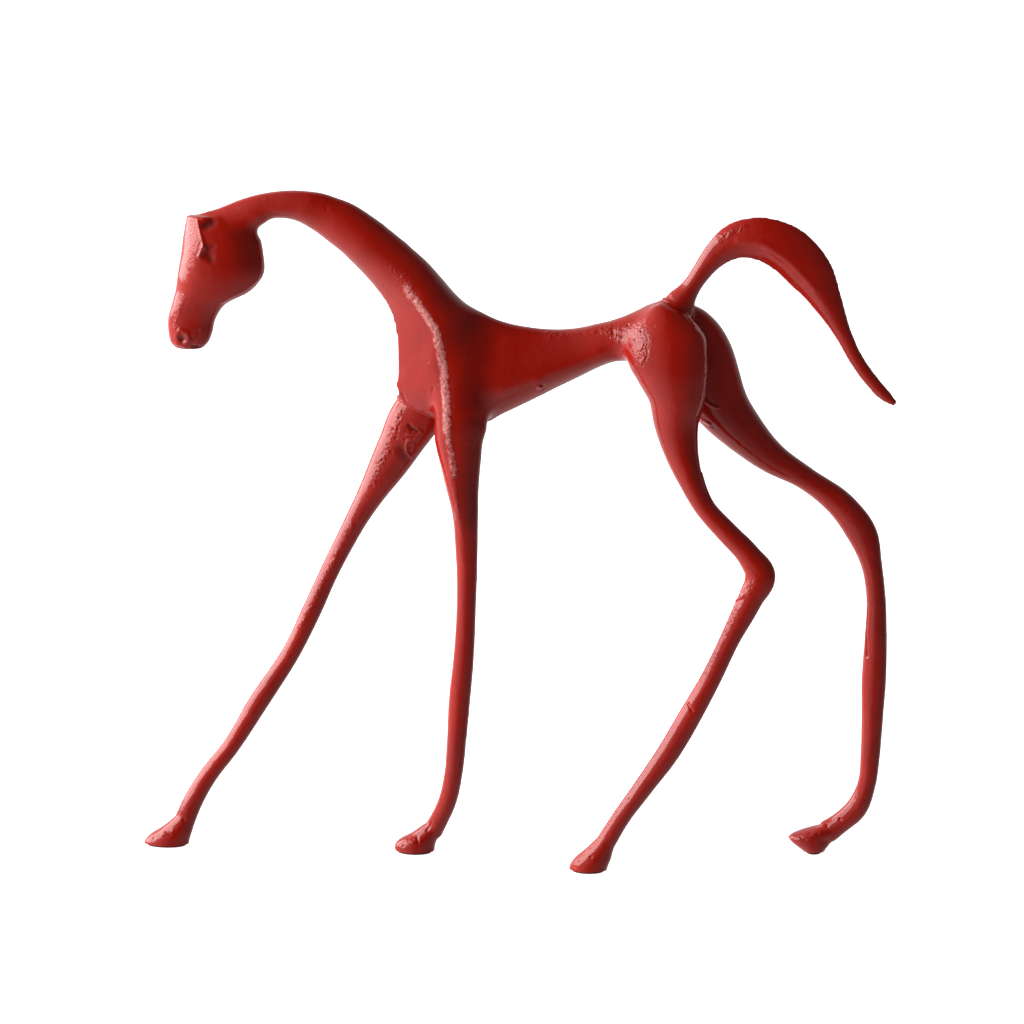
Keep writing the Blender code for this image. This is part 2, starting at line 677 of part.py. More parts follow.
# The pattern: all but the far foreleg is one flowing form
pattern = skin(
    "pattern",
    [
        loft(limb(HEAD, level=True)),
        loft(spine(SPINE)),
        loft(limb(NEAR_FORELEG)),
        loft(limb(NEAR_FORE_HOOF, level=True)),
        loft(limb(NEAR_HIND_LEG)),
        loft(limb(NEAR_HIND_HOOF, level=True)),
        loft(limb(FAR_HIND_LEG)),
        loft(limb(FAR_HIND_HOOF, level=True)),
        loft(limb(TAIL)),
    ],
    BLENDS,
    SKIN_TRIANGLES,
)
far_foreleg = skin(
    "far_foreleg", [loft(limb(FAR_FORELEG)), loft(limb(FAR_FORE_HOOF, level=True))], [], LEG_TRIANGLES
)

# The lines that the welds will follow are found before anything is cut
seat = cut_frame(CHEST_SEAT)
tail_root = cut_frame(TAIL_CUT)
whole = surface(pattern)
far_foreleg_ring = ring_round(surface(far_foreleg), seat, FAR_FORELEG_BEAD_POINTS)
tail_ring = ring_round(whole, tail_root, TAIL_BEAD_POINTS)
crotch_line = line_under(whole, CROTCH_BEAD_START, CROTCH_BEAD_END, CROTCH_BEAD_POINTS)

for hoof in (NEAR_FORE_HOOF, NEAR_HIND_HOOF, FAR_HIND_HOOF):
    flat_sole(pattern, hoof)
flat_sole(far_foreleg, FAR_FORE_HOOF)

# The far foreleg butts against a flat under the chest
long, wide = CHEST_SEAT.half_long, CHEST_SEAT.half_wide
flat = box_mesh(
    "flat",
    seat,
    (-JOINT_GAP / 2, -wide - SEAT_SIDE_GAP, -long),
    (long, 2 * wide, long),
)
subtract(pattern, flat)
past_flat = box_mesh(
    "past_flat", seat, (-3 * long, -2 * wide, -2 * long), (JOINT_GAP / 2, 2 * wide, 2 * long)
)
subtract(far_foreleg, past_flat)
far_foreleg.data.materials.append(lacquer)

# The pattern is sawn into its castings
for cut in (HEAD_CUT, NECK_CUT, NEAR_FORELEG_CUT, LOIN_CUT, TAIL_CUT):
    subtract(pattern, saw(cut))
castings = split(
    pattern,
    {
        "head": (-155, 0, 320),
        "neck": (-95, 0, 345),
        "torso": (-15, 0, 275),
        "near_foreleg": (-30, -8, 110),
        "rump": (110, 0, 200),
        "tail": (145, 0, 320),
    },
    lacquer,
)
rump = castings.pop("rump")
lengthwise = Matrix.Rotation(math.pi / 2, 4, "Z")
midline = Matrix.Translation((MIDLINE_CUT.x, 0, MIDLINE_CUT.z)) @ lengthwise
half_saw = (JOINT_GAP / 2, MIDLINE_CUT.half_wide, MIDLINE_CUT.half_long)
subtract(rump, box_mesh("midline_saw", midline, [-size for size in half_saw], half_saw))
castings |= split(
    rump, {"near_hind_leg": (95, -18, 150), "far_hind_leg": (150, 18, 180)}, lacquer
)
head, neck, torso = castings["head"], castings["neck"], castings["torso"]
near_foreleg, tail = castings["near_foreleg"], castings["tail"]
near_hind_leg, far_hind_leg = castings["near_hind_leg"], castings["far_hind_leg"]

# Steel dowels in blind holes line the castings up
dowel("head_dowel", cut_frame(HEAD_CUT), HEAD_DOWEL, (head, neck), steel)
dowel("neck_dowel", cut_frame(NECK_CUT), NECK_DOWEL, (neck, torso), steel)
dowel(
    "near_foreleg_dowel", cut_frame(NEAR_FORELEG_CUT), FORELEG_DOWEL, (torso, near_foreleg), steel
)
dowel("far_foreleg_dowel", seat, FORELEG_DOWEL, (torso, far_foreleg), steel)
loin = cut_frame(LOIN_CUT)
for name, side, leg in (
    ("near_loin_dowel", -LOIN_DOWEL_SIDE, near_hind_leg),
    ("far_loin_dowel", LOIN_DOWEL_SIDE, far_hind_leg),
):
    dowel(name, loin @ Matrix.Translation((0, side, 0)), LOIN_DOWEL, (torso, leg), steel)
haunch = Matrix.Translation(HAUNCH_DOWEL_AT) @ lengthwise
dowel("haunch_dowel", haunch, HAUNCH_DOWEL, (near_hind_leg, far_hind_leg), steel)
dowel("tail_dowel", tail_root, TAIL_DOWEL, (tail, near_hind_leg, far_hind_leg), steel)

# Welds: a full bead round the far foreleg and the tail root, and a short one in the crotch
weld(
    "far_foreleg_weld",
    far_foreleg_ring,
    FAR_FORELEG_BEAD_RADIUS,
    (torso, far_foreleg),
    lacquer,
)
weld(
    "tail_weld",
    tail_ring,
    TAIL_BEAD_RADIUS,
    (tail, near_hind_leg, far_hind_leg),
    lacquer,
)
weld(
    "crotch_weld",
    crotch_line,
    CROTCH_BEAD_RADIUS,
    (near_hind_leg, far_hind_leg),
    lacquer,
    closed=False,
)

# The plug in the belly
outward = Vector(PLUG_WAY).to_track_quat("X", "Z").to_matrix().to_4x4()
plug_frame = Matrix.Translation(PLUG_AT) @ outward
hole = rod_mesh("hole", plug_frame, PLUG_RADIUS + PLUG_CLEARANCE, -PLUG_LENGTH, PLUG_LENGTH)
subtract(torso, hole)
inner_end = PLUG_CLEARANCE - PLUG_LENGTH
plug = rod_mesh(
    "belly_plug", plug_frame, PLUG_RADIUS, inner_end, PLUG_STANDS_PROUD, PLUG_CHAMFER
)
add_object("belly_plug", plug, lacquer)

# Thin rubber pads keep the shelf from being scratched
pad("near_fore_pad", NEAR_FORE_HOOF, rubber)
pad("far_fore_pad", FAR_FORE_HOOF, rubber)
pad("near_hind_pad", NEAR_HIND_HOOF, rubber)
pad("far_hind_pad", FAR_HIND_HOOF, rubber)

centre_all()
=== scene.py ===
"""A long-legged foal in eight iron castings, pinned and welded together and lacquered red.

The head points to -X, the near side of the horse faces -Y and the four hooves stand on Z = 0.
Sizes are in millimetres and are turned to metres where a mesh is made.
"""

import math
from collections import namedtuple

import bmesh
import bpy
import numpy as np
from mathutils import Matrix, Vector, noise


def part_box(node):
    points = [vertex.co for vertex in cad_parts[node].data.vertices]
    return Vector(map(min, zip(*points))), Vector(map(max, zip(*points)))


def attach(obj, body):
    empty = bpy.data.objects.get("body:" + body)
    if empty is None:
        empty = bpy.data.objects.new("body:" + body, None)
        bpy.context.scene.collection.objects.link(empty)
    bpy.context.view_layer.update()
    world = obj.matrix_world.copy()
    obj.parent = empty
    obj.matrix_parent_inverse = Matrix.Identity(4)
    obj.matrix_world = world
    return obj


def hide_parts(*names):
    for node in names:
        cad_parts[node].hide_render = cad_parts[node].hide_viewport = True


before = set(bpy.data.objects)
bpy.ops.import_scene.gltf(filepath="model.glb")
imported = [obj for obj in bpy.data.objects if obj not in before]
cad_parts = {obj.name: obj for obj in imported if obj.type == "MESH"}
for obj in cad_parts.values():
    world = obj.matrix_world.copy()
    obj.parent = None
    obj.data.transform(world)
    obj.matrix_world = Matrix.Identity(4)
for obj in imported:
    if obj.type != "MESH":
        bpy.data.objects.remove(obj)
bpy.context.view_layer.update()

# The camera
# It looks slightly down on the near side from a little behind the head, through a long lens that
# keeps the four legs in proportion. The picture is taken as a square of 1024 by 1024 pixels.
MM = 0.001
PICTURE = 1024
SENSOR = 36.0
LENS = 119.29
CAMERA_TURN = math.radians(6)
CAMERA_RISE = math.radians(13)
CAMERA_DISTANCE = 1800.0
LOOK_AT = Vector((1.07, -1.17, 191.5))


def add_object(name, data):
    thing = bpy.data.objects.new(name, data)
    bpy.context.scene.collection.objects.link(thing)
    return thing


def way_to(turn, rise):
    """The way to something that stands round from the front and up."""
    return Vector(
        (math.sin(turn) * math.cos(rise), -math.cos(turn) * math.cos(rise), math.sin(rise))
    )


lens = bpy.data.cameras.new("camera")
lens.lens = LENS
lens.sensor_width = SENSOR
camera = add_object("camera", lens)
towards_camera = way_to(CAMERA_TURN, CAMERA_RISE)
camera.location = (LOOK_AT + towards_camera * CAMERA_DISTANCE) * MM
camera.rotation_euler = (-towards_camera).to_track_quat("-Z", "Y").to_euler()
bpy.context.scene.camera = camera


def line_of_sight(pixel):
    """The way from the camera through a pixel of the picture."""
    across = (pixel[0] - PICTURE / 2) / PICTURE * SENSOR
    down = (pixel[1] - PICTURE / 2) / PICTURE * SENSOR
    way = Vector((across, -down, -LENS)).normalized()
    return camera.rotation_euler.to_matrix() @ way


# The pattern
# The foundry's pattern is one flowing form, shaped by hand, that the castings are parted from. All
# of the horse but its far foreleg is in it.

# A station is a cross-section of a limb: its centre, its half depth in the side view and its half
# width across the horse. It is widest along a ridge, so far from its middle towards the front or
# the underside as a share of its half depth. Before and behind the ridge it is flat at 1, round
# at 2, and boxy above that.
Station = namedtuple("Station", "x y z deep wide back ridge front", defaults=(2.0, 0.0, 2.0))
HEAD = [
    Station(-157.6, 0, 347.4, 13.0, 7.0, 2.6, 0.3, 1.4),
    Station(-153.0, 0, 338.5, 19.4, 10.5, 2.4, 0.4, 1.4),
    Station(-152.2, 0, 326.8, 21.9, 12.0, 2.3, 0.45, 1.55),
    Station(-153.3, 0, 316.1, 22.7, 12.0, 2.3, 0.4, 1.9),
    Station(-157.2, 0, 308.0, 20.0, 10.8, 2.3, 0.35, 2.1),
    Station(-165.5, 0, 300.0, 14.0, 9.2, 2.3, 0.3, 2.1),
    Station(-169.2, 0, 292.0, 12.5, 8.2, 2.3, 0.25, 2.1),
    Station(-170.1, 0, 284.0, 11.3, 7.8, 2.3, 0.2, 2.1),
    Station(-170.8, 0, 279.0, 9.4, 6.5, 2.2, 0.1, 2.0),
    Station(-170.8, 0, 276.6, 6.8, 4.8, 2.0, 0.0, 2.0),
]
# The neck and the barrel are one spine. Each of its sections lies between a point on the crest and
# one on the keel in the side view, so that the sections fan out round the chest.
Section = namedtuple("Section", "crest_x crest_z keel_x keel_z wide back ridge front")
SPINE = [
    Section(-168.0, 346.8, -162.0, 325.0, 5.4, 2.0, 0.0, 2.0),
    Section(-160.5, 349.2, -155.0, 327.0, 6.2, 2.0, 0.0, 2.0),
    Section(-154.5, 350.9, -148.5, 331.5, 6.8, 2.0, 0.0, 2.0),
    Section(-148.2, 353.5, -141.5, 335.0, 6.8, 2.0, 0.1, 2.0),
    Section(-141.6, 356.1, -134.8, 339.0, 6.6, 2.2, 0.2, 1.8),
    Section(-129.0, 359.5, -126.0, 345.9, 6.0, 2.4, 0.3, 1.6),
    Section(-114.5, 361.1, -116.3, 346.3, 6.4, 2.4, 0.3, 1.6),
    Section(-96.5, 359.4, -105.5, 341.9, 7.5, 2.4, 0.3, 1.6),
    Section(-79.5, 353.0, -92.0, 331.8, 9.0, 2.4, 0.3, 1.5),
    Section(-64.9, 342.9, -80.0, 320.9, 10.2, 2.3, 0.25, 1.4),
    Section(-53.0, 333.1, -70.2, 309.8, 11.6, 2.1, 0.15, 1.25),
    Section(-43.0, 323.8, -63.8, 300.0, 13.2, 2.0, 0.0, 1.1),
    Section(-35.6, 315.5, -60.5, 289.4, 14.6, 2.0, -0.18, 1.05),
    Section(-29.2, 308.1, -59.4, 278.0, 15.6, 2.0, -0.26, 1.02),
    Section(-23.3, 302.8, -59.3, 267.0, 16.2, 2.0, -0.25, 1.02),
    Section(-18.0, 299.8, -59.9, 256.5, 16.2, 2.0, -0.12, 1.05),
    Section(-15.0, 298.4, -56.0, 248.0, 16.0, 2.0, 0.05, 1.15),
    Section(-12.5, 297.2, -46.0, 242.5, 15.6, 2.0, 0.2, 1.3),
    Section(-8.5, 295.4, -28.0, 240.2, 15.0, 2.0, 0.3, 1.35),
    Section(-4.0, 293.8, -13.0, 239.5, 14.4, 2.0, 0.3, 1.35),
    Section(1.2, 292.4, -3.7, 244.5, 13.7, 2.1, 0.35, 1.3),
    Section(7.5, 291.3, 5.2, 248.9, 13.0, 2.1, 0.35, 1.3),
    Section(16.0, 290.3, 15.2, 254.1, 12.3, 2.1, 0.35, 1.3),
    Section(26.5, 290.1, 25.7, 259.6, 11.6, 2.1, 0.35, 1.3),
    Section(36.0, 291.1, 36.7, 265.2, 10.9, 2.1, 0.35, 1.35),
    Section(45.4, 293.3, 46.3, 270.3, 10.5, 2.1, 0.3, 1.5),
    Section(54.8, 296.3, 54.6, 273.5, 10.8, 2.0, 0.2, 1.7),
    Section(64.2, 300.3, 62.4, 274.0, 11.6, 2.0, 0.1, 1.9),
    Section(73.0, 304.6, 70.0, 275.0, 12.0, 2.0, 0.0, 2.0),
    Section(80.0, 307.2, 78.0, 277.0, 11.0, 2.0, 0.0, 2.0),
]
NEAR_FORELEG = [
    Station(-36.0, -4, 296.0, 9.0, 8.0, 2.0, 0.3, 1.4),
    Station(-30.0, -7, 279.0, 13.5, 8.5, 2.2, 0.4, 1.2),
    Station(-26.0, -9, 261.0, 14.8, 8.5, 2.2, 0.5, 1.2),
    Station(-24.7, -10, 245.0, 14.6, 9.0, 2.2, 0.55, 1.2),
    Station(-25.9, -10, 232.0, 12.8, 9.0, 2.2, 0.5, 1.3),
    Station(-25.2, -10, 221.0, 11.0, 8.5, 2.2, 0.45, 1.4),
    Station(-24.2, -10, 208.0, 8.9, 7.8, 2.1, 0.4, 1.5),
    Station(-22.6, -10, 191.6, 6.8, 6.4, 2.1, 0.3, 1.6),
    Station(-22.2, -9.5, 178.0, 6.1, 5.8, 2.0, 0.2, 1.7),
    Station(-22.0, -9, 158.7, 5.4, 5.2, 2.0, 0.1, 1.8),
    Station(-22.5, -8.5, 139.0, 5.1, 5.0),
    Station(-23.9, -8, 114.0, 5.4, 5.0),
    Station(-26.4, -7, 89.0, 5.7, 5.2),
    Station(-28.1, -6.5, 66.6, 5.2, 4.9),
    Station(-30.2, -4.5, 46.6, 4.9, 4.6),
    Station(-33.8, -2.5, 30.5, 4.9, 4.6),
    Station(-38.8, -0.5, 19.0, 5.0, 4.7),
    Station(-42.6, 1, 11.6, 5.4, 5.0),
]
NEAR_FORE_HOOF = [
    Station(-41.8, 1, 15.8, 5.4, 4.9),
    Station(-46.5, 1, 10.3, 8.0, 6.4),
    Station(-50.8, 1, 6.5, 10.4, 7.5),
    Station(-52.5, 1, 2.5, 11.1, 7.6),
    Station(-51.4, 1, -2.0, 9.6, 7.0),
]
NEAR_HIND_LEG = [
    Station(77.0, -5, 304.0, 4.0, 5.0),
    Station(79.3, -8, 297.0, 14.0, 9.0),
    Station(82.0, -11, 285.0, 21.2, 12.5),
    Station(86.0, -13, 272.0, 18.9, 13.5),
    Station(88.6, -13, 259.0, 15.3, 12.6),
    Station(88.6, -13, 244.0, 11.7, 10.8),
    Station(91.8, -15, 228.0, 8.7, 8.4),
    Station(96.6, -17.5, 215.0, 6.5, 6.8),
    Station(103.9, -18, 201.0, 5.4, 5.6),
    Station(116.3, -19, 187.4, 5.7, 5.2),
    Station(127.6, -19.5, 175.6, 6.3, 5.2),
    Station(133.7, -20, 165.3, 8.0, 5.4),
    Station(128.9, -20.5, 152.8, 6.6, 5.2),
    Station(125.2, -20.7, 144.8, 6.2, 5.1),
    Station(119.8, -21, 133.7, 5.4, 5.0),
    Station(108.3, -21.5, 108.2, 5.4, 5.0),
    Station(98.3, -22, 88.9, 6.0, 5.2),
    Station(86.9, -22, 68.1, 6.0, 5.2),
    Station(73.4, -22, 47.8, 5.2, 5.0),
    Station(61.8, -21.5, 30.5, 4.8, 4.8),
    Station(54.2, -21, 17.3, 5.2, 5.0),
]
NEAR_HIND_HOOF = [
    Station(54.4, -21, 18.8, 5.2, 4.9),
    Station(50.4, -20.7, 12.3, 7.4, 6.2),
    Station(46.0, -20.5, 5.6, 10.0, 7.4),
    Station(44.2, -20.5, 1.3, 10.2, 7.6),
    Station(44.2, -20.5, -2.0, 10.2, 7.6),
]
FAR_HIND_LEG = [
    Station(86.0, 5, 302.0, 4.0, 5.0),
    Station(89.0, 8, 296.0, 11.0, 9.0),
    Station(93.0, 9.5, 288.5, 15.0, 11.5),
    Station(98.5, 11, 277.5, 17.0, 13.0),
    Station(103.9, 12, 261.2, 17.3, 13.0),
    Station(112.2, 12.5, 246.9, 14.2, 12.0),
    Station(121.4, 13.5, 236.0, 11.8, 10.7),
    Station(136.6, 15, 221.6, 8.5, 8.2),
    Station(156.1, 16.5, 209.5, 6.1, 6.5),
    Station(175.3, 17.5, 194.8, 7.4, 6.2),
    Station(186.2, 18, 179.8, 7.9, 5.8),
    Station(191.6, 18.5, 162.9, 5.5, 5.4),
    Station(194.4, 19, 143.6, 5.1, 5.2),
    Station(194.7, 19.5, 121.6, 5.9, 5.3),
    Station(194.2, 20, 99.1, 6.5, 5.3),
    Station(193.9, 20.5, 76.7, 5.7, 5.2),
    Station(193.3, 21, 56.7, 5.2, 5.0),
    Station(191.6, 21.5, 39.4, 4.9, 4.9),
    Station(186.1, 22, 25.5, 5.9, 5.2),
    Station(177.5, 22.5, 17.0, 5.7, 5.2),
    Station(170.7, 23, 11.5, 6.4, 5.6),
]
FAR_HIND_HOOF = [
    Station(170.5, 23, 14.5, 6.6, 5.6),
    Station(164.8, 23, 11.4, 9.8, 7.0),
    Station(161.8, 23, 8.4, 11.8, 7.4),
    Station(162.8, 23, 4.6, 9.4, 7.2),
    Station(163.9, 23, 1.3, 5.8, 6.4),
    Station(164.6, 23, -2.0, 4.6, 5.0),
]
TAIL = [
    Station(86.0, 0, 299.5, 10.4, 7.0),
    Station(89.3, 0, 305.5, 8.1, 6.5),
    Station(91.5, 0, 309.0, 6.3, 5.8),
    Station(94.0, 0, 312.6, 5.1, 5.0),
    Station(99.9, 0, 321.5, 5.0, 4.5),
    Station(108.2, 0, 331.7, 7.0, 4.8, 1.9, 0.0, 1.7),
    Station(117.6, 0, 338.2, 9.6, 5.4, 1.7, 0.1, 1.4),
    Station(130.3, 0, 339.4, 11.3, 6.2, 1.6, 0.15, 1.3),
    Station(143.7, 0, 334.3, 12.5, 6.8, 1.6, 0.2, 1.3),
    Station(156.4, 0, 321.8, 11.7, 6.2, 1.6, 0.2, 1.3),
    Station(165.9, 0, 306.1, 7.6, 4.9, 1.7, 0.15, 1.5),
    Station(173.9, 0, 290.5, 4.3, 3.6),
    Station(181.0, 0, 277.1, 3.6, 3.0),
    Station(189.3, 0, 265.8, 3.4, 2.8),
    Station(196.9, 0, 257.8, 2.9, 2.2),
    Station(202.1, 0, 253.9, 1.4, 1.1),
]
# The far shoulder swells out of the chest, over the top of the far foreleg and its dowel
FAR_SHOULDER = [
    Station(-30.0, 5, 275.0, 8.0, 6.0),
    Station(-38.0, 7, 262.0, 10.8, 8.0),
    Station(-44.5, 7.5, 253.5, 11.2, 8.8),
    Station(-48.6, 7.6, 246.4, 11.2, 8.8),
    Station(-51.5, 7.8, 241.0, 10.0, 8.0),
]
FAR_FORELEG = [
    Station(-40.5, 7, 257.0, 13.4, 9.0),
    Station(-46.6, 7.5, 247.0, 13.6, 9.0),
    Station(-53.3, 8, 236.8, 13.4, 9.0),
    Station(-59.4, 8.5, 225.7, 11.7, 8.5),
    Station(-65.8, 9, 214.3, 10.2, 8.0),
    Station(-74.7, 9, 199.1, 7.5, 7.0),
    Station(-83.3, 9, 184.0, 5.9, 5.8),
    Station(-91.0, 9, 169.4, 5.3, 5.2),
    Station(-98.4, 8, 154.5, 5.0, 4.8),
    Station(-108.3, 7, 132.6, 5.2, 4.8),
    Station(-118.7, 6, 111.0, 4.9, 4.7),
    Station(-138.1, 4, 80.6, 5.4, 5.0),
    Station(-153.0, 2, 56.3, 4.7, 4.6),
    Station(-166.1, 0.5, 39.0, 4.9, 4.8),
    Station(-174.9, -0.5, 23.6, 5.4, 5.0),
    Station(-179.5, -1, 12.6, 5.7, 5.2),
]
FAR_FORE_HOOF = [
    Station(-178.4, -1, 16.5, 5.4, 5.0),
    Station(-183.3, -1, 9.6, 8.9, 6.5),
    Station(-187.0, -1, 5.6, 11.3, 7.5),
    Station(-189.3, -1, 1.3, 12.4, 7.6),
    Station(-189.3, -1, -2.0, 12.4, 7.6),
]

RING_POINTS = 40
RING_STEP = 2.0
SKIN_GRID = 1.2
SKIN_PASSES = 4
BLEND_PASSES = 46
EVEN_OUT = 0.6
PUSH_BACK = 0.62

# Where limbs run into each other smoothly: centre, reach and share of the softening
Blend = namedtuple("Blend", "x y z reach share", defaults=(1.0,))
BLENDS = [
    Blend(-141, 0, 342, 12),
    Blend(-28, -15, 262, 26),
    Blend(-12, -12, 250, 12),
    Blend(66, -6, 290, 22),
    Blend(66, 8, 288, 20),
    Blend(80, 0, 303, 9),
    Blend(-37, 15, 264, 10),
]
# The ridges are only eased: down the neck, over the shoulder and the near foreleg, and by the brow
EASED = [
    Blend(-54.7, 12.5, 316.6, 16, 0.6),
    Blend(-60.1, 11.5, 322.7, 18, 1.0),
    Blend(-68.6, 10.1, 331.8, 18, 1.0),
    Blend(-80.2, 9.2, 340.9, 18, 1.0),
    Blend(-92.9, 7.9, 348.9, 14, 1.0),
    *(
        Blend(x, y, z, 10, 0.28)
        for x, y, z in (
            (-50.4, 13.6, 309.5),
            (-43.0, 15.0, 300.4),
            (-37.6, 16.2, 291.0),
            (-34.5, 16.3, 280.7),
            (-32.4, 16.7, 269.0),
            (-31.5, 17.5, 260.0),
            (-31.2, 18.2, 252.5),
            (-32.0, 18.5, 244.0),
            (-32.0, 18.5, 236.0),
            (-31.0, 18.0, 226.0),
        )
    ),
    Blend(-165.0, 10.0, 320.0, 10, 0.4),
]
BLENDS += [blend._replace(y=side * blend.y) for blend in EASED for side in (-1, 1)]

# The stations count from the horse's chest line, and the frame from the middle of its box
FAR_PAD_AT = Vector((-189.3, -1.0, 0.0))
pad_low, pad_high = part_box("far_fore_pad")
centring = (pad_low + pad_high) / 2 / MM - FAR_PAD_AT
centring.z = 0


def applied(thing):
    """Turns an object's modifiers into plain mesh."""
    bpy.context.view_layer.update()
    graph = bpy.context.evaluated_depsgraph_get()
    thing.data = bpy.data.meshes.new_from_object(thing.evaluated_get(graph))
    thing.modifiers.clear()
    return thing


def numbers(things, field, width, kind=float):
    """A field of a mesh's vertices, edges, corners or faces as an array."""
    values = np.empty(len(things) * width, kind)
    things.foreach_get(field, values)
    return values.reshape(-1, width) if width > 1 else values


def set_points(mesh, points):
    mesh.vertices.foreach_set("co", np.asarray(points, np.float32).ravel())
    mesh.update()


def along(stations, step, places=3):
    """The stations with smooth ones between them, a step apart by their leading fields."""
    rows = np.array(stations, float)
    steps = np.linalg.norm(np.diff(rows[:, :places], axis=0), axis=1)
    length = np.concatenate([[0], np.cumsum(steps)])
    slope = np.gradient(rows, length, axis=0)
    made = []
    for k in range(len(rows) - 1):
        span = length[k + 1] - length[k]
        for t in np.arange(0, 1, 1 / max(2, round(span / step))):
            made.append(
                (2 * t**3 - 3 * t**2 + 1) * rows[k]
                + (t**3 - 2 * t**2 + t) * span * slope[k]
                + (3 * t**2 - 2 * t**3) * rows[k + 1]
                + (t**3 - t**2) * span * slope[k + 1]
            )
    made.append(rows[-1])
    return np.array(made)


def limb(stations, level=False):
    """The rings of a limb: of each the middle, the reach to the front and across, and the shape."""
    rows = along(stations, RING_STEP)
    across = np.array([0.0, 1.0, 0.0])
    rings = []
    for row, way in zip(rows, np.gradient(rows[:, :3], axis=0)):
        deep = np.array([-1.0, 0.0, 0.0]) if level else np.cross(across, way)
        deep /= np.linalg.norm(deep)
        wide = across if level else np.cross(way, deep)
        wide = wide / np.linalg.norm(wide)
        rings.append((row[:3], deep * row[3], wide * row[4], row[5:]))
    return rings


def spine(sections):
    """The rings of the spine."""
    rings = []
    for row in along(sections, RING_STEP, places=4):
        crest, keel = np.array([row[0], 0, row[1]]), np.array([row[2], 0, row[3]])
        rings.append(((crest + keel) / 2, (keel - crest) / 2, np.array([0, row[4], 0]), row[5:]))
    return rings


def loft(rings):
    """The points of a skin, ring by ring."""
    angle = np.linspace(0, 2 * math.pi, RING_POINTS, endpoint=False)
    forth, side = np.cos(angle)[:, None], np.sin(angle)[:, None]
    made = []
    for centre, reach, wide, (back, ridge, front) in rings:
        power = np.where(forth > 0, front, back)
        share = np.where(forth > 0, 1 - ridge, 1 + ridge)
        u = ridge + share * np.sign(forth) * np.abs(forth) ** (2 / power)
        v = np.sign(side) * np.abs(side) ** (2 / power)
        made.append((centre + reach * u + wide * v + centring) * MM)
    return made


def mesh_of(name, form):
    """A closed form as a mesh, facing out."""
    bmesh.ops.recalc_face_normals(form, faces=form.faces)
    mesh = bpy.data.meshes.new(name)
    form.to_mesh(mesh)
    form.free()
    return mesh


def shells_mesh(name, shells):
    """One mesh of closed shells, each through rings of points from one end to the other."""
    form = bmesh.new()
    for shell in shells:
        rings = [[form.verts.new(point) for point in ring] for ring in shell]
        for ring, after in zip(rings, rings[1:]):
            for k in range(len(ring)):
                b = (k + 1) % len(ring)
                form.faces.new((ring[k], ring[b], after[b], after[k]))
        form.faces.new(rings[0][::-1])
        form.faces.new(rings[-1])
    return mesh_of(name, form)


def smoothed(mesh, blends):
    """Rubs the skin down: a little everywhere, and more where limbs run together."""
    points = numbers(mesh.vertices, "co", 3)
    ends = numbers(mesh.edges, "vertices", 2, int)
    ends = np.concatenate([ends, ends[:, ::-1]])
    ends = ends[np.argsort(ends[:, 0], kind="stable")]
    starts = np.searchsorted(ends[:, 0], np.arange(len(points)))
    around = np.diff(np.append(starts, len(ends)))[:, None]
    weight = np.zeros(len(points))
    for blend in blends:
        centre = (np.array([blend.x, blend.y, blend.z]) + centring) * MM
        near = 1 - np.linalg.norm(points - centre, axis=1) / (blend.reach * MM)
        # At full strength within half of the reach
        weight = np.maximum(weight, np.clip(near * 2, 0, 1) * blend.share)
    # Even passes push back out, so that thin legs keep their size
    moves = [(EVEN_OUT if k % 2 == 0 else -PUSH_BACK, 1.0) for k in range(2 * SKIN_PASSES)]
    moves += [(EVEN_OUT, weight[:, None])] * (BLEND_PASSES if blends else 0)
    for amount, share in moves:
        middle = np.add.reduceat(points[ends[:, 1]], starts) / around
        points += amount * share * (middle - points)
    set_points(mesh, points)


def skin(name, shells, blends):
    """One fine closed skin round several overlapping shells."""
    thing = add_object(name, shells_mesh(name, shells))
    remesh = thing.modifiers.new("skin", "REMESH")
    remesh.mode = "VOXEL"
    remesh.voxel_size = SKIN_GRID * MM
    applied(thing)
    smoothed(thing.data, blends)
    finer = thing.modifiers.new("finer", "SUBSURF")
    finer.levels = finer.render_levels = 1
    applied(thing)
    thing.data.shade_smooth()
    return thing


def add_node(tree, kind, sockets=None, **settings):
    """Adds a node, with its settings, and a value, a socket or another node's first output on each
    of the sockets named."""
    made = tree.nodes.new(kind)
    for name, value in settings.items():
        setattr(made, name, value)
    for name, value in (sockets or {}).items():
        if isinstance(value, bpy.types.Node):
            value = value.outputs[0]
        if isinstance(value, bpy.types.NodeSocket):
            tree.links.new(value, made.inputs[name])
        else:
            made.inputs[name].default_value = value
    return made


# Noise of these details has lumps, but no hairs, and half of it lies below its middle
DETAIL = 3.0
FINE_DETAIL = 2.0
NOISE_MIDDLE = 0.5


def add_math(tree, operation, *values):
    return add_node(tree, "ShaderNodeMath", dict(enumerate(values)), operation=operation)


def add_noise(tree, place, scale, detail=DETAIL):
    sockets = {"Vector": place, "Scale": scale, "Detail": detail}
    return add_node(tree, "ShaderNodeTexNoise", sockets)


def add_range(tree, value, low, high, least=0.0, most=1.0, **settings):
    """A value carried over from one range to another, and held at the ends."""
    sockets = {"Value": value, "From Min": low, "From Max": high, "To Min": least, "To Max": most}
    return add_node(tree, "ShaderNodeMapRange", sockets, **settings)


# Sand-cast iron keeps the grain of its mould: shallow lumps, and a few pits where gas was trapped
LUMP_SIZE = 9.0
LUMP_HEIGHT = 0.16
GRAIN_SIZE = 2.2
GRAIN_HEIGHT = 0.05
PIT_SPACING = 6.0
PIT_DEPTH = 0.3
PIT_SHARE = 0.12
# A pit's floor and rim, as shares of the spacing
PIT_FLOOR = 0.04
PIT_RIM = 0.14
# The two coats of lacquer stand so far off the iron
COAT = 0.16


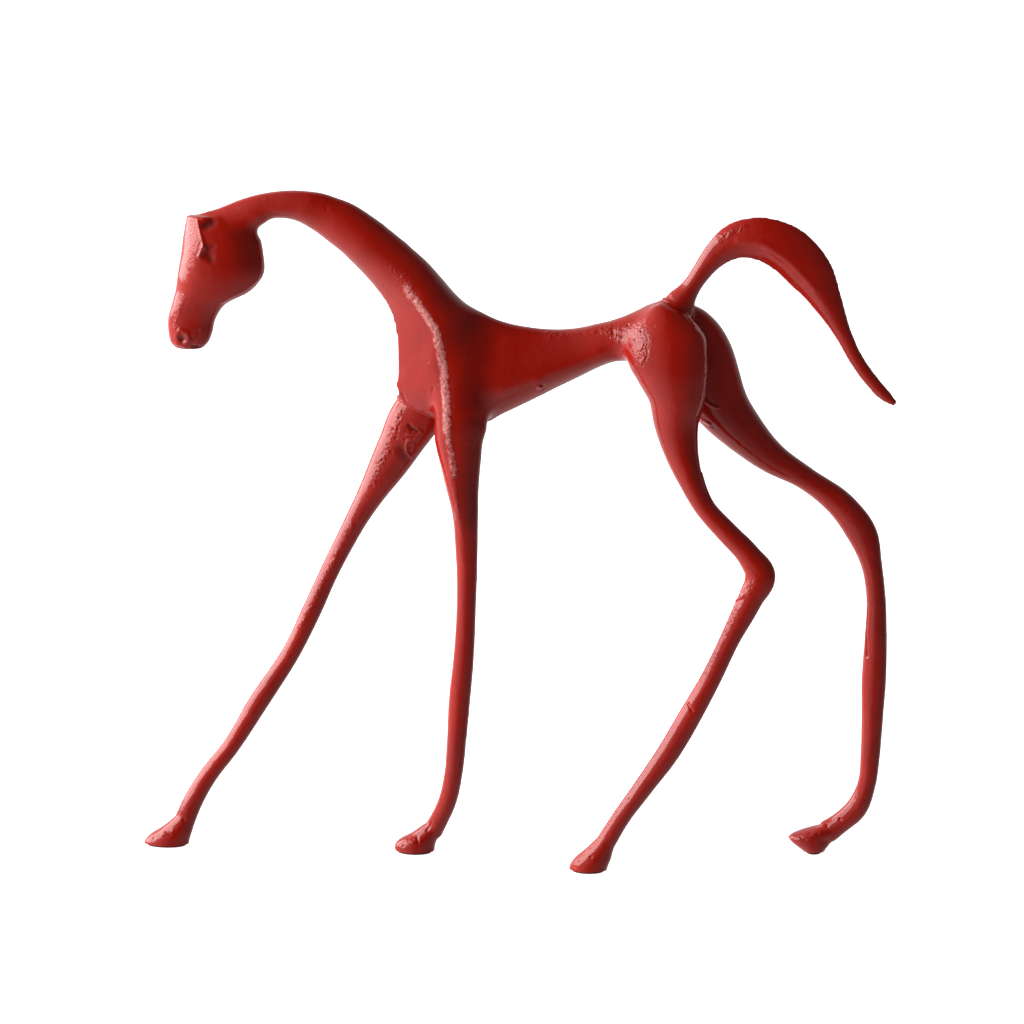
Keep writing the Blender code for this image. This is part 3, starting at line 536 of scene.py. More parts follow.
def new_tree(name, sizes):
    """An empty geometry node tree with named sizes and a material, and what it is given."""
    tree = bpy.data.node_groups.new(name, "GeometryNodeTree")
    sides = tree.interface
    sides.new_socket("Geometry", in_out="INPUT", socket_type="NodeSocketGeometry")
    for size in sizes:
        sides.new_socket(size, in_out="INPUT", socket_type="NodeSocketFloat")
    sides.new_socket("Material", in_out="INPUT", socket_type="NodeSocketMaterial")
    sides.new_socket("Shape", in_out="OUTPUT", socket_type="NodeSocketGeometry")
    return tree, add_node(tree, "NodeGroupInput").outputs


def end_tree(tree, given, shape):
    real = add_node(tree, "GeometryNodeRealizeInstances", {"Geometry": shape})
    painted = add_node(
        tree, "GeometryNodeSetMaterial", {"Geometry": real, "Material": given["Material"]}
    )
    add_node(tree, "NodeGroupOutput", {"Shape": painted})
    return tree


def cast_surface_tree():
    """Geometry nodes that give a smooth skin the surface of a sand casting."""
    tree, given = new_tree("cast_surface", [size for size in cast_sizes if size != "Material"])
    place = add_node(tree, "GeometryNodeInputPosition")
    closeness = add_math(tree, "DIVIDE", 1.0, given["Pit spacing"])
    cells = add_node(tree, "ShaderNodeTexVoronoi", {"Vector": place, "Scale": closeness})
    hollow = add_range(
        tree, cells, PIT_FLOOR, PIT_RIM, -1.0, 0.0, interpolation_type="SMOOTHSTEP"
    )
    draw = add_node(tree, "ShaderNodeSeparateXYZ", {"Vector": cells.outputs["Color"]})
    chosen = add_math(tree, "LESS_THAN", draw, PIT_SHARE)
    pits = add_math(tree, "MULTIPLY", hollow, chosen)
    total = add_math(tree, "MULTIPLY_ADD", pits, given["Pit depth"], given["Coat"])
    for size, height in (("Lump size", "Lump height"), ("Grain size", "Grain height")):
        wave = add_noise(tree, place, add_math(tree, "DIVIDE", 1.0, given[size]))
        level = add_math(tree, "SUBTRACT", wave, NOISE_MIDDLE)
        total = add_math(tree, "MULTIPLY_ADD", level, given[height], total)
    offset = add_node(
        tree,
        "ShaderNodeVectorMath",
        {0: add_node(tree, "GeometryNodeInputNormal"), "Scale": total},
        operation="SCALE",
    )
    moved = add_node(
        tree, "GeometryNodeSetPosition", {"Geometry": given["Geometry"], "Offset": offset}
    )
    return end_tree(tree, given, moved)


def run_tree(thing, tree, values):
    """Runs a node tree over an object and leaves plain mesh."""
    modifier = thing.modifiers.new(tree.name, "NODES")
    modifier.node_group = tree
    for name, value in values.items():
        modifier[tree.interface.items_tree[name].identifier] = value
    return applied(thing)


def linear(hex_colour):
    """An sRGB hex colour as the linear one that a shader takes."""
    made = []
    for k in (1, 3, 5):
        c = int(hex_colour[k : k + 2], 16) / 255
        made.append(c / 12.92 if c <= 0.04045 else ((c + 0.055) / 1.055) ** 2.4)
    return (*made, 1.0)


# Alkyd lacquer, brushed on over primed iron in two thick coats and waxed. It gives a deep blood
# red under a hard gloss that is broken by orange peel, dust and, where the iron was worked, pits.
# Painted shade darkens its hollows and shaded sides; a painted highlight lightens frayed patches on
# ridges.
LACQUER_RED = "#B31A0A"
LACQUER_DEEP = "#A31508"
LACQUER_BRIGHT = "#BE2210"
# Painted shade: near-black red laid in hollows, pits and on shaded sides
LACQUER_PAINTED_SHADE = "#350402"
# Painted highlight: pale pink laid along ridges and edges where the gloss catches the light
LACQUER_PAINTED_HIGHLIGHT = "#EE9E9A"
LACQUER_IOR = 1.5
LACQUER_SMOOTHEST = 0.1
LACQUER_ROUGHEST = 0.2
LACQUER_WORKED_DULL = 0.07
NOISE_LOW = 0.35
NOISE_HIGH = 0.65
SPECKS_FROM = 0.6
SPECKS_FULL = 0.75
SPECKS_STRENGTH = 0.5
# How the painted highlight frays, and where and how strongly it is laid
PAINTED_HIGHLIGHT_FRAY = 4.0
PAINTED_HIGHLIGHT_FROM = 0.12
PAINTED_HIGHLIGHT_FULL = 0.6
PAINTED_HIGHLIGHT_STRENGTH = 0.6
FLOW_SIZE = 28.0
DUST_SIZE = 1.3
DULL_SIZE = 5.0
DRAG_SIZE = 3.4
DRAG_HEIGHT = 0.05
PEEL_SIZE = 1.5
PEEL_HEIGHT = 0.045
WORKED_SIZE = 1.2
WORKED_HEIGHT = 0.35
CRATER_SPACING = 2.4
CRATER_FLOOR = 0.08
CRATER_RIM = 0.2
CRATER_DEPTH = 0.08
CRATER_SHARE = 0.08


def new_material(name):
    """A material, its node tree and shader, and the place on a piece that its patterns read."""
    material = bpy.data.materials.new(name)
    material.use_nodes = True
    tree = material.node_tree
    place = add_node(tree, "ShaderNodeTexCoord").outputs["Object"]
    return material, tree, tree.nodes["Principled BSDF"], place


def grained_material(name, colour, grain_size, smoothest, roughest):
    """A material of one colour whose gloss varies with a fine grain."""
    material, tree, shader, place = new_material(name)
    grain = add_noise(tree, place, 1 / (grain_size * MM), FINE_DETAIL)
    gloss = add_range(tree, grain, 0.0, 1.0, smoothest, roughest)
    tree.links.new(gloss.outputs[0], shader.inputs["Roughness"])
    shader.inputs["Base Color"].default_value = linear(colour)
    return material, tree, shader, grain


def red_lacquer():
    material, tree, shader, place = new_material("brushed_red_lacquer")
    # The marks leave how worked the iron is, their painted shade and their painted highlight in
    # this attribute
    finish_and_painted_light = add_node(
        tree, "ShaderNodeAttribute", attribute_name="finish_and_painted_light", attribute_type="GEOMETRY"
    ).outputs["Vector"]
    worked, painted_shade_share, rubbed = add_node(tree, "ShaderNodeSeparateXYZ", {"Vector": finish_and_painted_light}).outputs
    flow, dust, dull, drag, peel, lumps = (
        add_noise(tree, place, 1 / (size * MM))
        for size in (FLOW_SIZE, DUST_SIZE, DULL_SIZE, DRAG_SIZE, PEEL_SIZE, WORKED_SIZE)
    )
    # The painted highlight is frayed by the drag and dust noise
    highlight_fray = add_math(tree, "POWER", add_math(tree, "ADD", drag, dust), PAINTED_HIGHLIGHT_FRAY)
    frayed_highlight = add_math(tree, "MULTIPLY", rubbed, highlight_fray)
    thick = add_range(tree, flow, NOISE_LOW, NOISE_HIGH)
    specks = add_range(tree, dust, SPECKS_FROM, SPECKS_FULL, 0.0, SPECKS_STRENGTH)
    gloss = add_range(tree, dull, NOISE_LOW, NOISE_HIGH, LACQUER_SMOOTHEST, LACQUER_ROUGHEST)
    painted_highlight_share = add_range(tree, frayed_highlight, PAINTED_HIGHLIGHT_FROM, PAINTED_HIGHLIGHT_FULL, 0.0, PAINTED_HIGHLIGHT_STRENGTH)
    colour = linear(LACQUER_DEEP)
    for share, over in (
        (thick, LACQUER_RED),
        (specks, LACQUER_BRIGHT),
        # The last two coats are painted shade and a painted highlight
        (painted_shade_share, LACQUER_PAINTED_SHADE),
        (painted_highlight_share, LACQUER_PAINTED_HIGHLIGHT),
    ):
        coat = add_node(
            tree, "ShaderNodeMix", {0: share, 6: colour, 7: linear(over)}, data_type="RGBA"
        )
        colour = coat.outputs[2]
    tree.links.new(colour, shader.inputs["Base Color"])
    dulled = add_math(tree, "MULTIPLY_ADD", worked, LACQUER_WORKED_DULL, gloss)
    tree.links.new(dulled.outputs[0], shader.inputs["Roughness"])
    shader.inputs["IOR"].default_value = LACQUER_IOR

    cells = add_node(
        tree, "ShaderNodeTexVoronoi", {"Vector": place, "Scale": 1 / (CRATER_SPACING * MM)}
    )
    hollow = add_range(tree, cells, CRATER_FLOOR, CRATER_RIM)
    draw = add_node(tree, "ShaderNodeSeparateXYZ", {"Vector": cells.outputs["Color"]})
    whole = add_math(tree, "GREATER_THAN", draw, CRATER_SHARE)
    craters = add_math(tree, "MAXIMUM", hollow, whole)
    rough = add_math(tree, "MULTIPLY", lumps, worked)
    relief = None
    for height, depth in (
        (drag, DRAG_HEIGHT),
        (peel, PEEL_HEIGHT),
        (craters, CRATER_DEPTH),
        (rough, WORKED_HEIGHT),
    ):
        sockets = {"Strength": 1.0, "Distance": depth * MM, "Height": height}
        if relief:
            sockets["Normal"] = relief
        relief = add_node(tree, "ShaderNodeBump", sockets)
    tree.links.new(relief.outputs[0], shader.inputs["Normal"])
    return material


lacquer = red_lacquer()
cast_sizes = {
    "Lump size": LUMP_SIZE * MM,
    "Lump height": LUMP_HEIGHT * MM,
    "Grain size": GRAIN_SIZE * MM,
    "Grain height": GRAIN_HEIGHT * MM,
    "Pit spacing": PIT_SPACING * MM,
    "Pit depth": PIT_DEPTH * MM,
    "Coat": COAT * MM,
    "Material": lacquer,
}
cast_surface = cast_surface_tree()
pattern = skin(
    "pattern",
    [
        loft(limb(HEAD, level=True)),
        loft(spine(SPINE)),
        loft(limb(FAR_SHOULDER)),
        loft(limb(NEAR_FORELEG)),
        loft(limb(NEAR_FORE_HOOF, level=True)),
        loft(limb(NEAR_HIND_LEG)),
        loft(limb(NEAR_HIND_HOOF, level=True)),
        loft(limb(FAR_HIND_LEG)),
        loft(limb(FAR_HIND_HOOF, level=True)),
        loft(limb(TAIL)),
    ],
    BLENDS,
)
run_tree(pattern, cast_surface, cast_sizes)

# The head
# One solid casting, parted from the neck under the poll. The brow is filed to a flat front, the
# ears and eyes are cut in with a gouge, and the nostrils are punched.

# A cut is square to the middle plane, and parts off a block from its low to its high corner
Cut = namedtuple("Cut", "x y z slope")
HEAD_CUT = Cut(-136.6, 0, 349.0, 30)
HEAD_BLOCK = ((-90, -40, -100), (0, 40, 60))
SEAM_ANGLE = math.radians(50)

# A mark runs along pixels of the photograph, and reaches so far to each side. It pushes the skin
# out or in as the maker's tools did, may leave it rough, and may darken it with painted shade or
# lighten it with a painted highlight.
Mark = namedtuple("Mark", "name reach pixels push rough pooled rubbed", defaults=(0.0,) * 4)
ROUGH_SIZE = 2.2
ROUGH_FINER = 2.3
TINY = 1e-9
HEAD_MARKS = [
    Mark("filed brow", 5.0, [(192, 222), (194, 245), (190, 262)], rough=0.12),
    Mark("brow edge", 1.5, [(198, 222), (204, 246), (199, 257)], push=0.8),
    Mark("brow corner", 2.4, [(203, 247)], push=0.6),
    # The ear, the brow fold, the eye and the nostril also get painted shade in their hollows
    Mark("ear hollow", 4.2, [(206, 225), (211, 222)], push=-0.6, pooled=0.8),
    Mark("brow fold", 2.2, [(208, 248), (213, 247)], push=-0.3, pooled=0.35),
    Mark("eye", 4.8, [(208, 255)], push=-0.6, pooled=0.5),
    Mark("corner of the eye", 2.8, [(211, 260)], push=-0.3, pooled=0.6),
    Mark("nostril", 3.2, [(182, 339)], push=-1.1, pooled=0.6),
    Mark(
        "nostril ring",
        1.9,
        [(176, 336), (180, 330), (187, 333), (189, 340), (184, 346), (177, 344)],
        push=0.5,
    ),
    Mark("mouth", 1.1, [(199, 331), (192, 346)], push=-0.6),
    # Painted shade in the corner of the mouth
    Mark("corner of the mouth", 1.8, [(194, 347), (198, 347)], push=-0.9, pooled=0.8),
    # A broad patch of painted shade over the jowl
    Mark("painted shade on the jowl", 11.0, [(243, 240), (248, 262)], pooled=0.35),
    Mark("jowl rim", 1.8, [(261, 262), (257, 280), (246, 289), (234, 295), (223, 302)], push=0.3),
    Mark("muzzle edge", 2.2, [(183, 297), (178, 312), (174, 330)], rough=0.2),
]


def sight_on(thing, points, pixel):
    """Where the line of sight through a pixel meets a skin, or else its nearest point."""
    way = line_of_sight(pixel)
    met, place, _, _ = thing.ray_cast(camera.location, way)
    if met:
        return np.array(place) / MM
    aside = np.cross(points - np.array(camera.location) / MM, np.array(way))
    return points[np.argmin(np.linalg.norm(aside, axis=1))]


def gap_to_line(points, line):
    """How far each point is from a line of straight pieces."""
    if len(line) == 1:
        return np.linalg.norm(points - line[0], axis=1)
    gap = np.full(len(points), np.inf)
    for a, b in zip(line[:-1], line[1:]):
        way = b - a
        share = np.clip((points - a) @ way / max(way @ way, TINY), 0, 1)[:, None]
        gap = np.minimum(gap, np.linalg.norm(points - a - share * way, axis=1))
    return gap


def dress(thing, marks, both_sides=False):
    """Works marks into a skin where the photograph shows them, and on the far side alike."""
    bpy.context.view_layer.update()
    mesh = thing.data
    points = numbers(mesh.vertices, "co", 3) / MM
    outward = numbers(mesh.vertices, "normal", 3)
    attribute = mesh.attributes.get("finish_and_painted_light")
    attribute = attribute or mesh.attributes.new("finish_and_painted_light", "FLOAT_VECTOR", "POINT")
    finish_and_painted_light = numbers(attribute.data, "vector", 3)
    rise = np.zeros(len(points))
    for mark in marks:
        line = np.array([sight_on(thing, points, pixel) for pixel in mark.pixels])
        lines = [line]
        if both_sides:
            lines.append(line * (1, -1, 1) + (0, 2 * centring.y, 0))
        for way in lines:
            near = np.clip(1 - (gap_to_line(points, way) / mark.reach) ** 2, 0, 1) ** 2
            rise += near * mark.push
            if mark.rough:
                for i in np.nonzero(near)[0]:
                    spot = Vector(points[i]) / ROUGH_SIZE
                    grit = noise.noise(spot) + noise.noise(spot * ROUGH_FINER)
                    rise[i] += near[i] * mark.rough * grit
            # A mark's roughness, painted shade and painted highlight are kept on the skin for the
            # lacquer
            left = (float(mark.rough > 0), mark.pooled, mark.rubbed)
            finish_and_painted_light = np.maximum(finish_and_painted_light, near[:, None] * left)
    set_points(mesh, (points + outward * rise[:, None]) * MM)
    mesh.attributes["finish_and_painted_light"].data.foreach_set("vector", finish_and_painted_light.astype(np.float32).ravel())


def cut_frame(cut):
    """Axes on a cut, with X across it, turned up from +X by its slope."""
    turn = Matrix.Rotation(-math.radians(cut.slope), 4, "Y")
    return Matrix.Translation(Vector((cut.x, cut.y, cut.z)) + centring) @ turn


def block_mesh(axes, low, high):
    """A block between two corners given in the axes of a frame."""
    form = bmesh.new()
    size = Vector(high) - Vector(low)
    middle = (Vector(high) + Vector(low)) / 2
    place = axes @ Matrix.Translation(middle) @ Matrix.Diagonal((*size, 1))
    bmesh.ops.create_cube(form, size=1, matrix=Matrix.Scale(MM, 4) @ place)
    return mesh_of("block", form)


def combine(thing, mesh, operation):
    """Cuts a mesh out of an object, or keeps only what lies in it."""
    cutter = add_object("cutter", mesh)
    modifier = thing.modifiers.new("cut", "BOOLEAN")
    modifier.operation = operation
    # The skins are closed and fine, which this solver is quick with
    modifier.solver = "MANIFOLD"
    modifier.object = cutter
    applied(thing)
    bpy.data.objects.remove(cutter, do_unlink=True)


def part_off(name, axes, low, high):
    """Parts a casting off the rest of the pattern with a block."""
    piece = add_object(name, pattern.data.copy())
    combine(piece, block_mesh(axes, low, high), "INTERSECT")
    combine(pattern, block_mesh(axes, low, high), "DIFFERENCE")
    return piece


def place_piece(thing, node, material):
    """Finishes a piece and sets it in the place of its solid."""
    thing.data.materials.clear()
    thing.data.materials.append(material)
    thing.data.shade_smooth()
    # The lacquer runs over the joints, so the skin is not rounded over where it was parted
    thing.data.set_sharp_from_angle(angle=SEAM_ANGLE)
    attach(thing, "root")
    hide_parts(node)


# The beads of weld follow the uncut pattern, so their lines are read from it before it is parted
TAIL_CUT = Cut(89.2, 0, 305.2, 78)
TAIL_BEAD_POINTS = 24
CROTCH_BEAD_START = (86, 0, 200)
CROTCH_BEAD_END = (111, 0.2, 200)
CROTCH_BEAD_POINTS = 11
CROTCH_BEAD_SUNK = (1.2, 2.6)


def ring_round(thing, axes, count):
    """Points on a skin all round a joint, in the plane of its frame."""
    bpy.context.view_layer.update()
    ring = []
    for k in range(count):
        turn = 2 * math.pi * k / count
        way = axes.to_3x3() @ Vector((0, math.cos(turn), math.sin(turn)))
        ring.append(thing.ray_cast(axes.translation * MM, way)[1] / MM)
    return ring


def line_under(thing, start, end, count):
    """Points along the underside of a skin, straight above a line."""
    bpy.context.view_layer.update()
    start, end = Vector(start) + centring, Vector(end) + centring
    spots = [start.lerp(end, k / (count - 1)) for k in range(count)]
    line = []
    for k, spot in enumerate(spots):
        sunk = np.interp(k, (0, count - 1), CROTCH_BEAD_SUNK)
        line.append(thing.ray_cast(spot * MM, Vector((0, 0, 1)))[1] / MM + Vector((0, 0, sunk)))
    return line


tail_ring = ring_round(pattern, cut_frame(TAIL_CUT), TAIL_BEAD_POINTS)
crotch_line = line_under(pattern, CROTCH_BEAD_START, CROTCH_BEAD_END, CROTCH_BEAD_POINTS)

dress(pattern, HEAD_MARKS, both_sides=True)
head = part_off("head_casting", cut_frame(HEAD_CUT), *HEAD_BLOCK)

# The neck
# One arched casting from the poll to the withers, hollowed a little under its crest, and butted
# to the torso on a slanting face.
NECK_CUT = Cut(-57.5, 0, 317.5, -48)
NECK_BLOCK = ((-110, -40, -70), (0, 40, 70))
NECK_MARKS = [
    Mark("brush drag", 5.0, [(392, 267), (408, 284)], rough=0.1),
    Mark("dust", 1.6, [(266, 199)], push=0.15),
]
dress(pattern, NECK_MARKS, both_sides=True)
neck = part_off("neck_casting", cut_frame(NECK_CUT), *NECK_BLOCK)

# The tail
# One casting that sweeps up and over to a point, its blade pinched to a blunt ridge on each side.
TAIL_BLOCK = ((0, -20, -140), (90, 20, 40))
TAIL_MARKS = [
    Mark("ridge", 3.0, [(739, 240), (762, 243), (790, 264), (815, 290)], push=0.35),
    Mark("ripples", 3.0, [(719, 240), (733, 231), (744, 228)], rough=0.3),
]
dress(pattern, TAIL_MARKS, both_sides=True)
tail = part_off("tail_casting", cut_frame(TAIL_CUT), *TAIL_BLOCK)

# The near foreleg
# A straight leg cast with its hoof, parted from the shoulder on a level face. Its hoof is filed
# flat underneath for the pad.
SOLE_HEIGHT = 1.3
FILED_BLOCK = ((-300, -300, -20), (300, 300, 0))
NEAR_FORELEG_CUT = Cut(-25.0, -10, 231.0, -90)
NEAR_FORELEG_BLOCK = ((0, -20, -60), (240, 25, 60))
NEAR_FORELEG_MARKS = [
    # A painted highlight along the front edge
    Mark("front edge", 2.8, [(447, 432), (451, 455), (454, 475)], push=0.2, rough=0.25, rubbed=0.5),
    Mark("shank", 2.4, [(455, 490), (458, 520)], push=0.1, rough=0.2),
    # A broad patch of painted shade down the back of the leg
    Mark("painted shade behind the leg", 10.0, [(474, 425), (473, 470), (472, 520)], pooled=0.4),
    Mark("pit in the toe", 1.1, [(403, 846)], push=-0.5),
    Mark("crease over the hoof", 1.1, [(417, 837), (418, 843)], push=-0.5),
    Mark("ripples on the hoof", 2.2, [(408, 843), (415, 841)], rough=0.3),
    Mark("pits on the pastern", 1.2, [(427, 830), (432, 822)], push=-0.5),
]


def flat_sole(thing):
    """Files a hoof off level at the height that its pad leaves."""
    filed = block_mesh(Matrix.Translation((0, 0, SOLE_HEIGHT)), *FILED_BLOCK)
    combine(thing, filed, "DIFFERENCE")


flat_sole(pattern)
dress(pattern, NEAR_FORELEG_MARKS)
near_foreleg = part_off("near_foreleg_casting", cut_frame(NEAR_FORELEG_CUT), *NEAR_FORELEG_BLOCK)

# The near hind leg
# It is cast with the near half of the rump, and meets the far half along the middle of the horse,
# where the lacquer stands in a raised line over the joint.
LOIN_CUT = Cut(57.0, 0, 285.0, 0)
RUMP_BLOCK = ((0, -60, -300), (200, 0, 60))
NEAR_HIND_LEG_MARKS = [
    Mark("filed loin", 4.0, [(598, 331), (612, 332)], rough=0.2),
    Mark("filed rump", 8.0, [(618, 334), (634, 332), (643, 345), (640, 364)], rough=0.2),
    # The pits in the rump are darkened with painted shade
    *(
        Mark("pit in the rump", 1.1, [spot], push=-0.5, pooled=0.8)
        for spot in ((622, 337), (628, 325), (634, 341), (641, 331), (613, 333))
    ),
    Mark("squiggle", 0.9, [(643, 345), (640, 352), (645, 357), (641, 364)], push=0.4),
    # A painted highlight along the raised line of the haunch seam
    Mark(
        "haunch seam",
        1.5,
        [
            (688, 316), (697, 329), (703, 339), (705, 350),
            (705, 370), (704, 386), (701, 402), (697, 414),
        ],
        push=0.4,
        rubbed=0.75,
    ),
    Mark("knuckles", 1.6, [(702, 474), (712, 502)], push=0.5),
    Mark("hock", 4.0, [(747, 570), (754, 580), (747, 592)], rough=0.2),
    Mark("lip on the shank", 1.2, [(736, 601), (743, 596)], push=0.5),
    Mark("worked shank", 2.6, [(735, 610), (722, 640), (700, 680)], rough=0.22),
    Mark("groove in the shank", 1.1, [(688, 704), (692, 711)], push=-0.6),
    Mark("toe lip", 1.1, [(573, 864), (580, 866)], push=0.3),
    Mark("pits in the hoof", 1.1, [(591, 857)], push=-0.5),
    Mark("pit in the toe", 1.0, [(579, 861)], push=-0.5),
]
dress(pattern, NEAR_HIND_LEG_MARKS)
near_hind_leg = part_off("near_hind_leg_casting", cut_frame(LOIN_CUT), *RUMP_BLOCK)

# The far hind leg
# The other half of the rump, with the leg that steps back.
FAR_RUMP_BLOCK = ((0, -60, -300), (200, 60, 60))
FAR_HIND_LEG_MARKS = [
    Mark("groove down the cannon", 1.4, [(867, 608), (866, 630), (867, 656)], push=-0.8),
    Mark("worked knee", 4.0, [(845, 500), (862, 530)], rough=0.22),
    Mark("notch over the hoof", 1.4, [(827, 826)], push=-0.6),
    Mark("notch in the pastern", 1.4, [(840, 819)], push=-0.6),
    Mark("scratch in the hoof", 1.0, [(801, 838), (806, 840)], push=-0.4),
    Mark("worked hoof", 3.0, [(800, 836), (815, 834), (828, 836)], rough=0.3),
    # A painted highlight on the lip of the crotch, and painted shade in its hollow
    Mark("lip of the crotch", 1.7, [(701, 419), (709, 424)], push=0.6, rubbed=0.4),
    Mark("hollow of the crotch", 1.9, [(713, 427)], push=-0.5, pooled=0.7),
]
dress(pattern, FAR_HIND_LEG_MARKS)
far_hind_leg = part_off("far_hind_leg_casting", cut_frame(LOIN_CUT), *FAR_RUMP_BLOCK)

# The torso
# The chest and the barrel, which all the other castings but the tail are pinned to. The shoulder
# keeps a crisp ridge, and the chest a flat facet in front of it.
CHEST_SEAT = Cut(-49.0, 7.5, 246.2, -114)
CHEST_SEAT_BLOCK = ((0, -9.6, -18), (18, 18, 18))
TORSO_MARKS = [
    # A painted highlight along the shoulder ridge and over its head
    Mark(
        "shoulder ridge",
        3.4,
        [(411, 295), (424, 312), (435, 330), (440, 350), (444, 372), (446, 405), (447, 432)],
        push=0.2,
        rough=0.25,
        rubbed=0.8,
    ),
    Mark("head of the ridge", 4.2, [(406, 287), (411, 296)], rough=0.2, rubbed=0.45),
    # The pits in the ridge are darkened with painted shade
    *(
        Mark("pit in the ridge", 1.1, [spot], push=-0.5, pooled=0.8)
        for spot in ((414, 300), (434, 328), (441, 367), (446, 396), (438, 341), (445, 383))
    ),
    Mark("boss round the plug", 5.0, [(539, 383)], push=0.5),
    # Painted shade in the gap under the plug
    Mark("gap under the plug", 2.0, [(542, 389)], push=-0.4, pooled=0.8),
    # A broad patch of painted shade behind the shoulder
    Mark(
        "painted shade behind the shoulder",
        13.0,
        [(474, 325), (476, 360), (474, 400)],
        pooled=0.45,
    ),
    Mark("rim of the facet", 1.4, [(402, 393), (407, 404), (416, 411), (430, 417)], push=-0.45),
    Mark("side of the facet", 1.4, [(433, 388), (434, 414)], push=-0.4),
    # Painted shade in the notch over the leg
    Mark("notch over the leg", 2.4, [(394, 403)], push=-1.4, pooled=0.8),
    Mark("brushed back", 6.0, [(551, 335), (590, 331), (610, 327)], rough=0.14),
]
torso = pattern
torso.name = "torso_casting"
dress(torso, TORSO_MARKS)
combine(torso, block_mesh(cut_frame(CHEST_SEAT), *CHEST_SEAT_BLOCK), "DIFFERENCE")

# The far foreleg
# A straight leg with its hoof, butted against the flat under the chest and welded there. Spatter
# and a curl of weld stayed on its inner side.
FAR_FORELEG_BLOCK = ((-60, -40, -60), (0, 40, 60))
FAR_FORELEG_BEAD_POINTS = 30
FAR_FORELEG_MARKS = [
    Mark(
        "front edge",
        3.2,
        [(401, 409), (397, 424), (390, 440), (382, 462), (372, 484)],
        rough=0.35,
    ),
    # The pits in the front edge are darkened with painted shade
    *(
        Mark("pit in the front edge", 1.0, [spot], push=-0.5, pooled=0.8)
        for spot in (
            (402, 412),
            (399, 418),
            (393, 430),
            (396, 438),
            (387, 445),
            (391, 451),
            (382, 460),
            (377, 472),
        )
    ),
    Mark(
        "curl of weld",
        1.1,
        [(414, 438), (408, 441), (406, 446), (407, 452), (411, 457)],
        push=0.7,
    ),
    Mark("spatter", 1.0, [(408, 434), (413, 434), (418, 429)], push=0.6),
    Mark("more spatter", 1.0, [(415, 438), (421, 431)], push=0.6),
    # Painted shade in the slot and the hollow by the weld
    Mark("slot by the weld", 1.6, [(409, 425), (412, 429), (416, 430)], push=-0.6, pooled=0.7),
    Mark("hollow by the weld", 4.4, [(400, 449), (404, 456)], push=-0.3, pooled=0.5),
    Mark("worked side", 4.0, [(400, 430), (412, 445)], rough=0.3),
    Mark("worked shank", 2.4, [(352, 525), (330, 570), (300, 625)], rough=0.25),
    Mark("dimple in the hoof", 1.6, [(154, 838)], push=-0.5),
    Mark("ripples on the hoof", 2.2, [(163, 834), (173, 832)], rough=0.35),
    Mark("groove in the pastern", 1.2, [(184, 820)], push=-0.5),
]
far_foreleg = skin(
    "far_foreleg_casting",
    [loft(limb(FAR_FORELEG)), loft(limb(FAR_FORE_HOOF, level=True))],
    [],
)
run_tree(far_foreleg, cast_surface, cast_sizes)
far_foreleg_ring = ring_round(far_foreleg, cut_frame(CHEST_SEAT), FAR_FORELEG_BEAD_POINTS)
flat_sole(far_foreleg)
combine(far_foreleg, block_mesh(cut_frame(CHEST_SEAT), *FAR_FORELEG_BLOCK), "DIFFERENCE")
dress(far_foreleg, FAR_FORELEG_MARKS)

# The welds
# Arc-welded beads of mild steel: all round the top of the far foreleg, all round the root of the
# tail, and a short one where the haunches meet. They were left lumpy and lacquered over.
FAR_FORELEG_BEAD_RADIUS = 1.4
FAR_FORELEG_BEAD_SUNK = 0.7
TAIL_BEAD_RADIUS = 0.8
TAIL_BEAD_SUNK = 0.45
CROTCH_BEAD_RADIUS = 1.5
BEAD_STEP = 0.35
BEAD_SIDES = 20
BEAD_LUMPS = 0.5
RIPPLE_SIZE = 2.4
# A bead that ends is drawn in over this share of its length, to this share of its radius
END_SHARE = 0.06
END_THICKNESS = 0.35


def weld_bead_tree():
    """Geometry nodes that lay a lumpy round bead along a line."""
    tree, given = new_tree("weld_bead", ("Radius", "Step", "Lumps", "Ripple size", "Round ends"))
    line = add_node(tree, "GeometryNodeMeshToCurve", {"Mesh": given["Geometry"]})
    smooth = add_node(
        tree, "GeometryNodeCurveSplineType", {"Curve": line}, spline_type="BEZIER"
    )
    round_line = add_node(
        tree, "GeometryNodeCurveSetHandles", {"Curve": smooth}, handle_type="AUTO"
    )
    fine = add_node(
        tree,
        "GeometryNodeResampleCurve",
        {"Curve": round_line, "Length": given["Step"]},
        mode="LENGTH",
    )
    profile = add_node(
        tree,
        "GeometryNodeCurvePrimitiveCircle",
        {"Resolution": BEAD_SIDES, "Radius": given["Radius"]},
    )
    place = add_node(tree, "GeometryNodeInputPosition")
    fineness = add_math(tree, "DIVIDE", 1.0, given["Ripple size"])
    wave = add_noise(tree, place, fineness, FINE_DETAIL)
    level = add_math(tree, "SUBTRACT", wave, NOISE_MIDDLE)
    lumps = add_math(tree, "MULTIPLY_ADD", level, given["Lumps"], 1.0)
    from_start = add_node(tree, "GeometryNodeSplineParameter")
    left = add_math(tree, "SUBTRACT", 1.0, from_start)
    from_end = add_math(tree, "MINIMUM", from_start, left)
    rounding = add_range(
        tree, from_end, 0.0, END_SHARE, END_THICKNESS, interpolation_type="SMOOTHERSTEP"
    )
    tapered = add_node(
        tree,
        "ShaderNodeMix",
        {0: given["Round ends"], 2: 1.0, 3: rounding},
        data_type="FLOAT",
    )
    scale = add_math(tree, "MULTIPLY", lumps, tapered)
    tube = add_node(
        tree,
        "GeometryNodeCurveToMesh",
        {"Curve": fine, "Profile Curve": profile, "Scale": scale, "Fill Caps": True},
    )
    smooth_tube = add_node(tree, "GeometryNodeSetShadeSmooth", {0: tube})
    return end_tree(tree, given, smooth_tube)


weld_bead = weld_bead_tree()


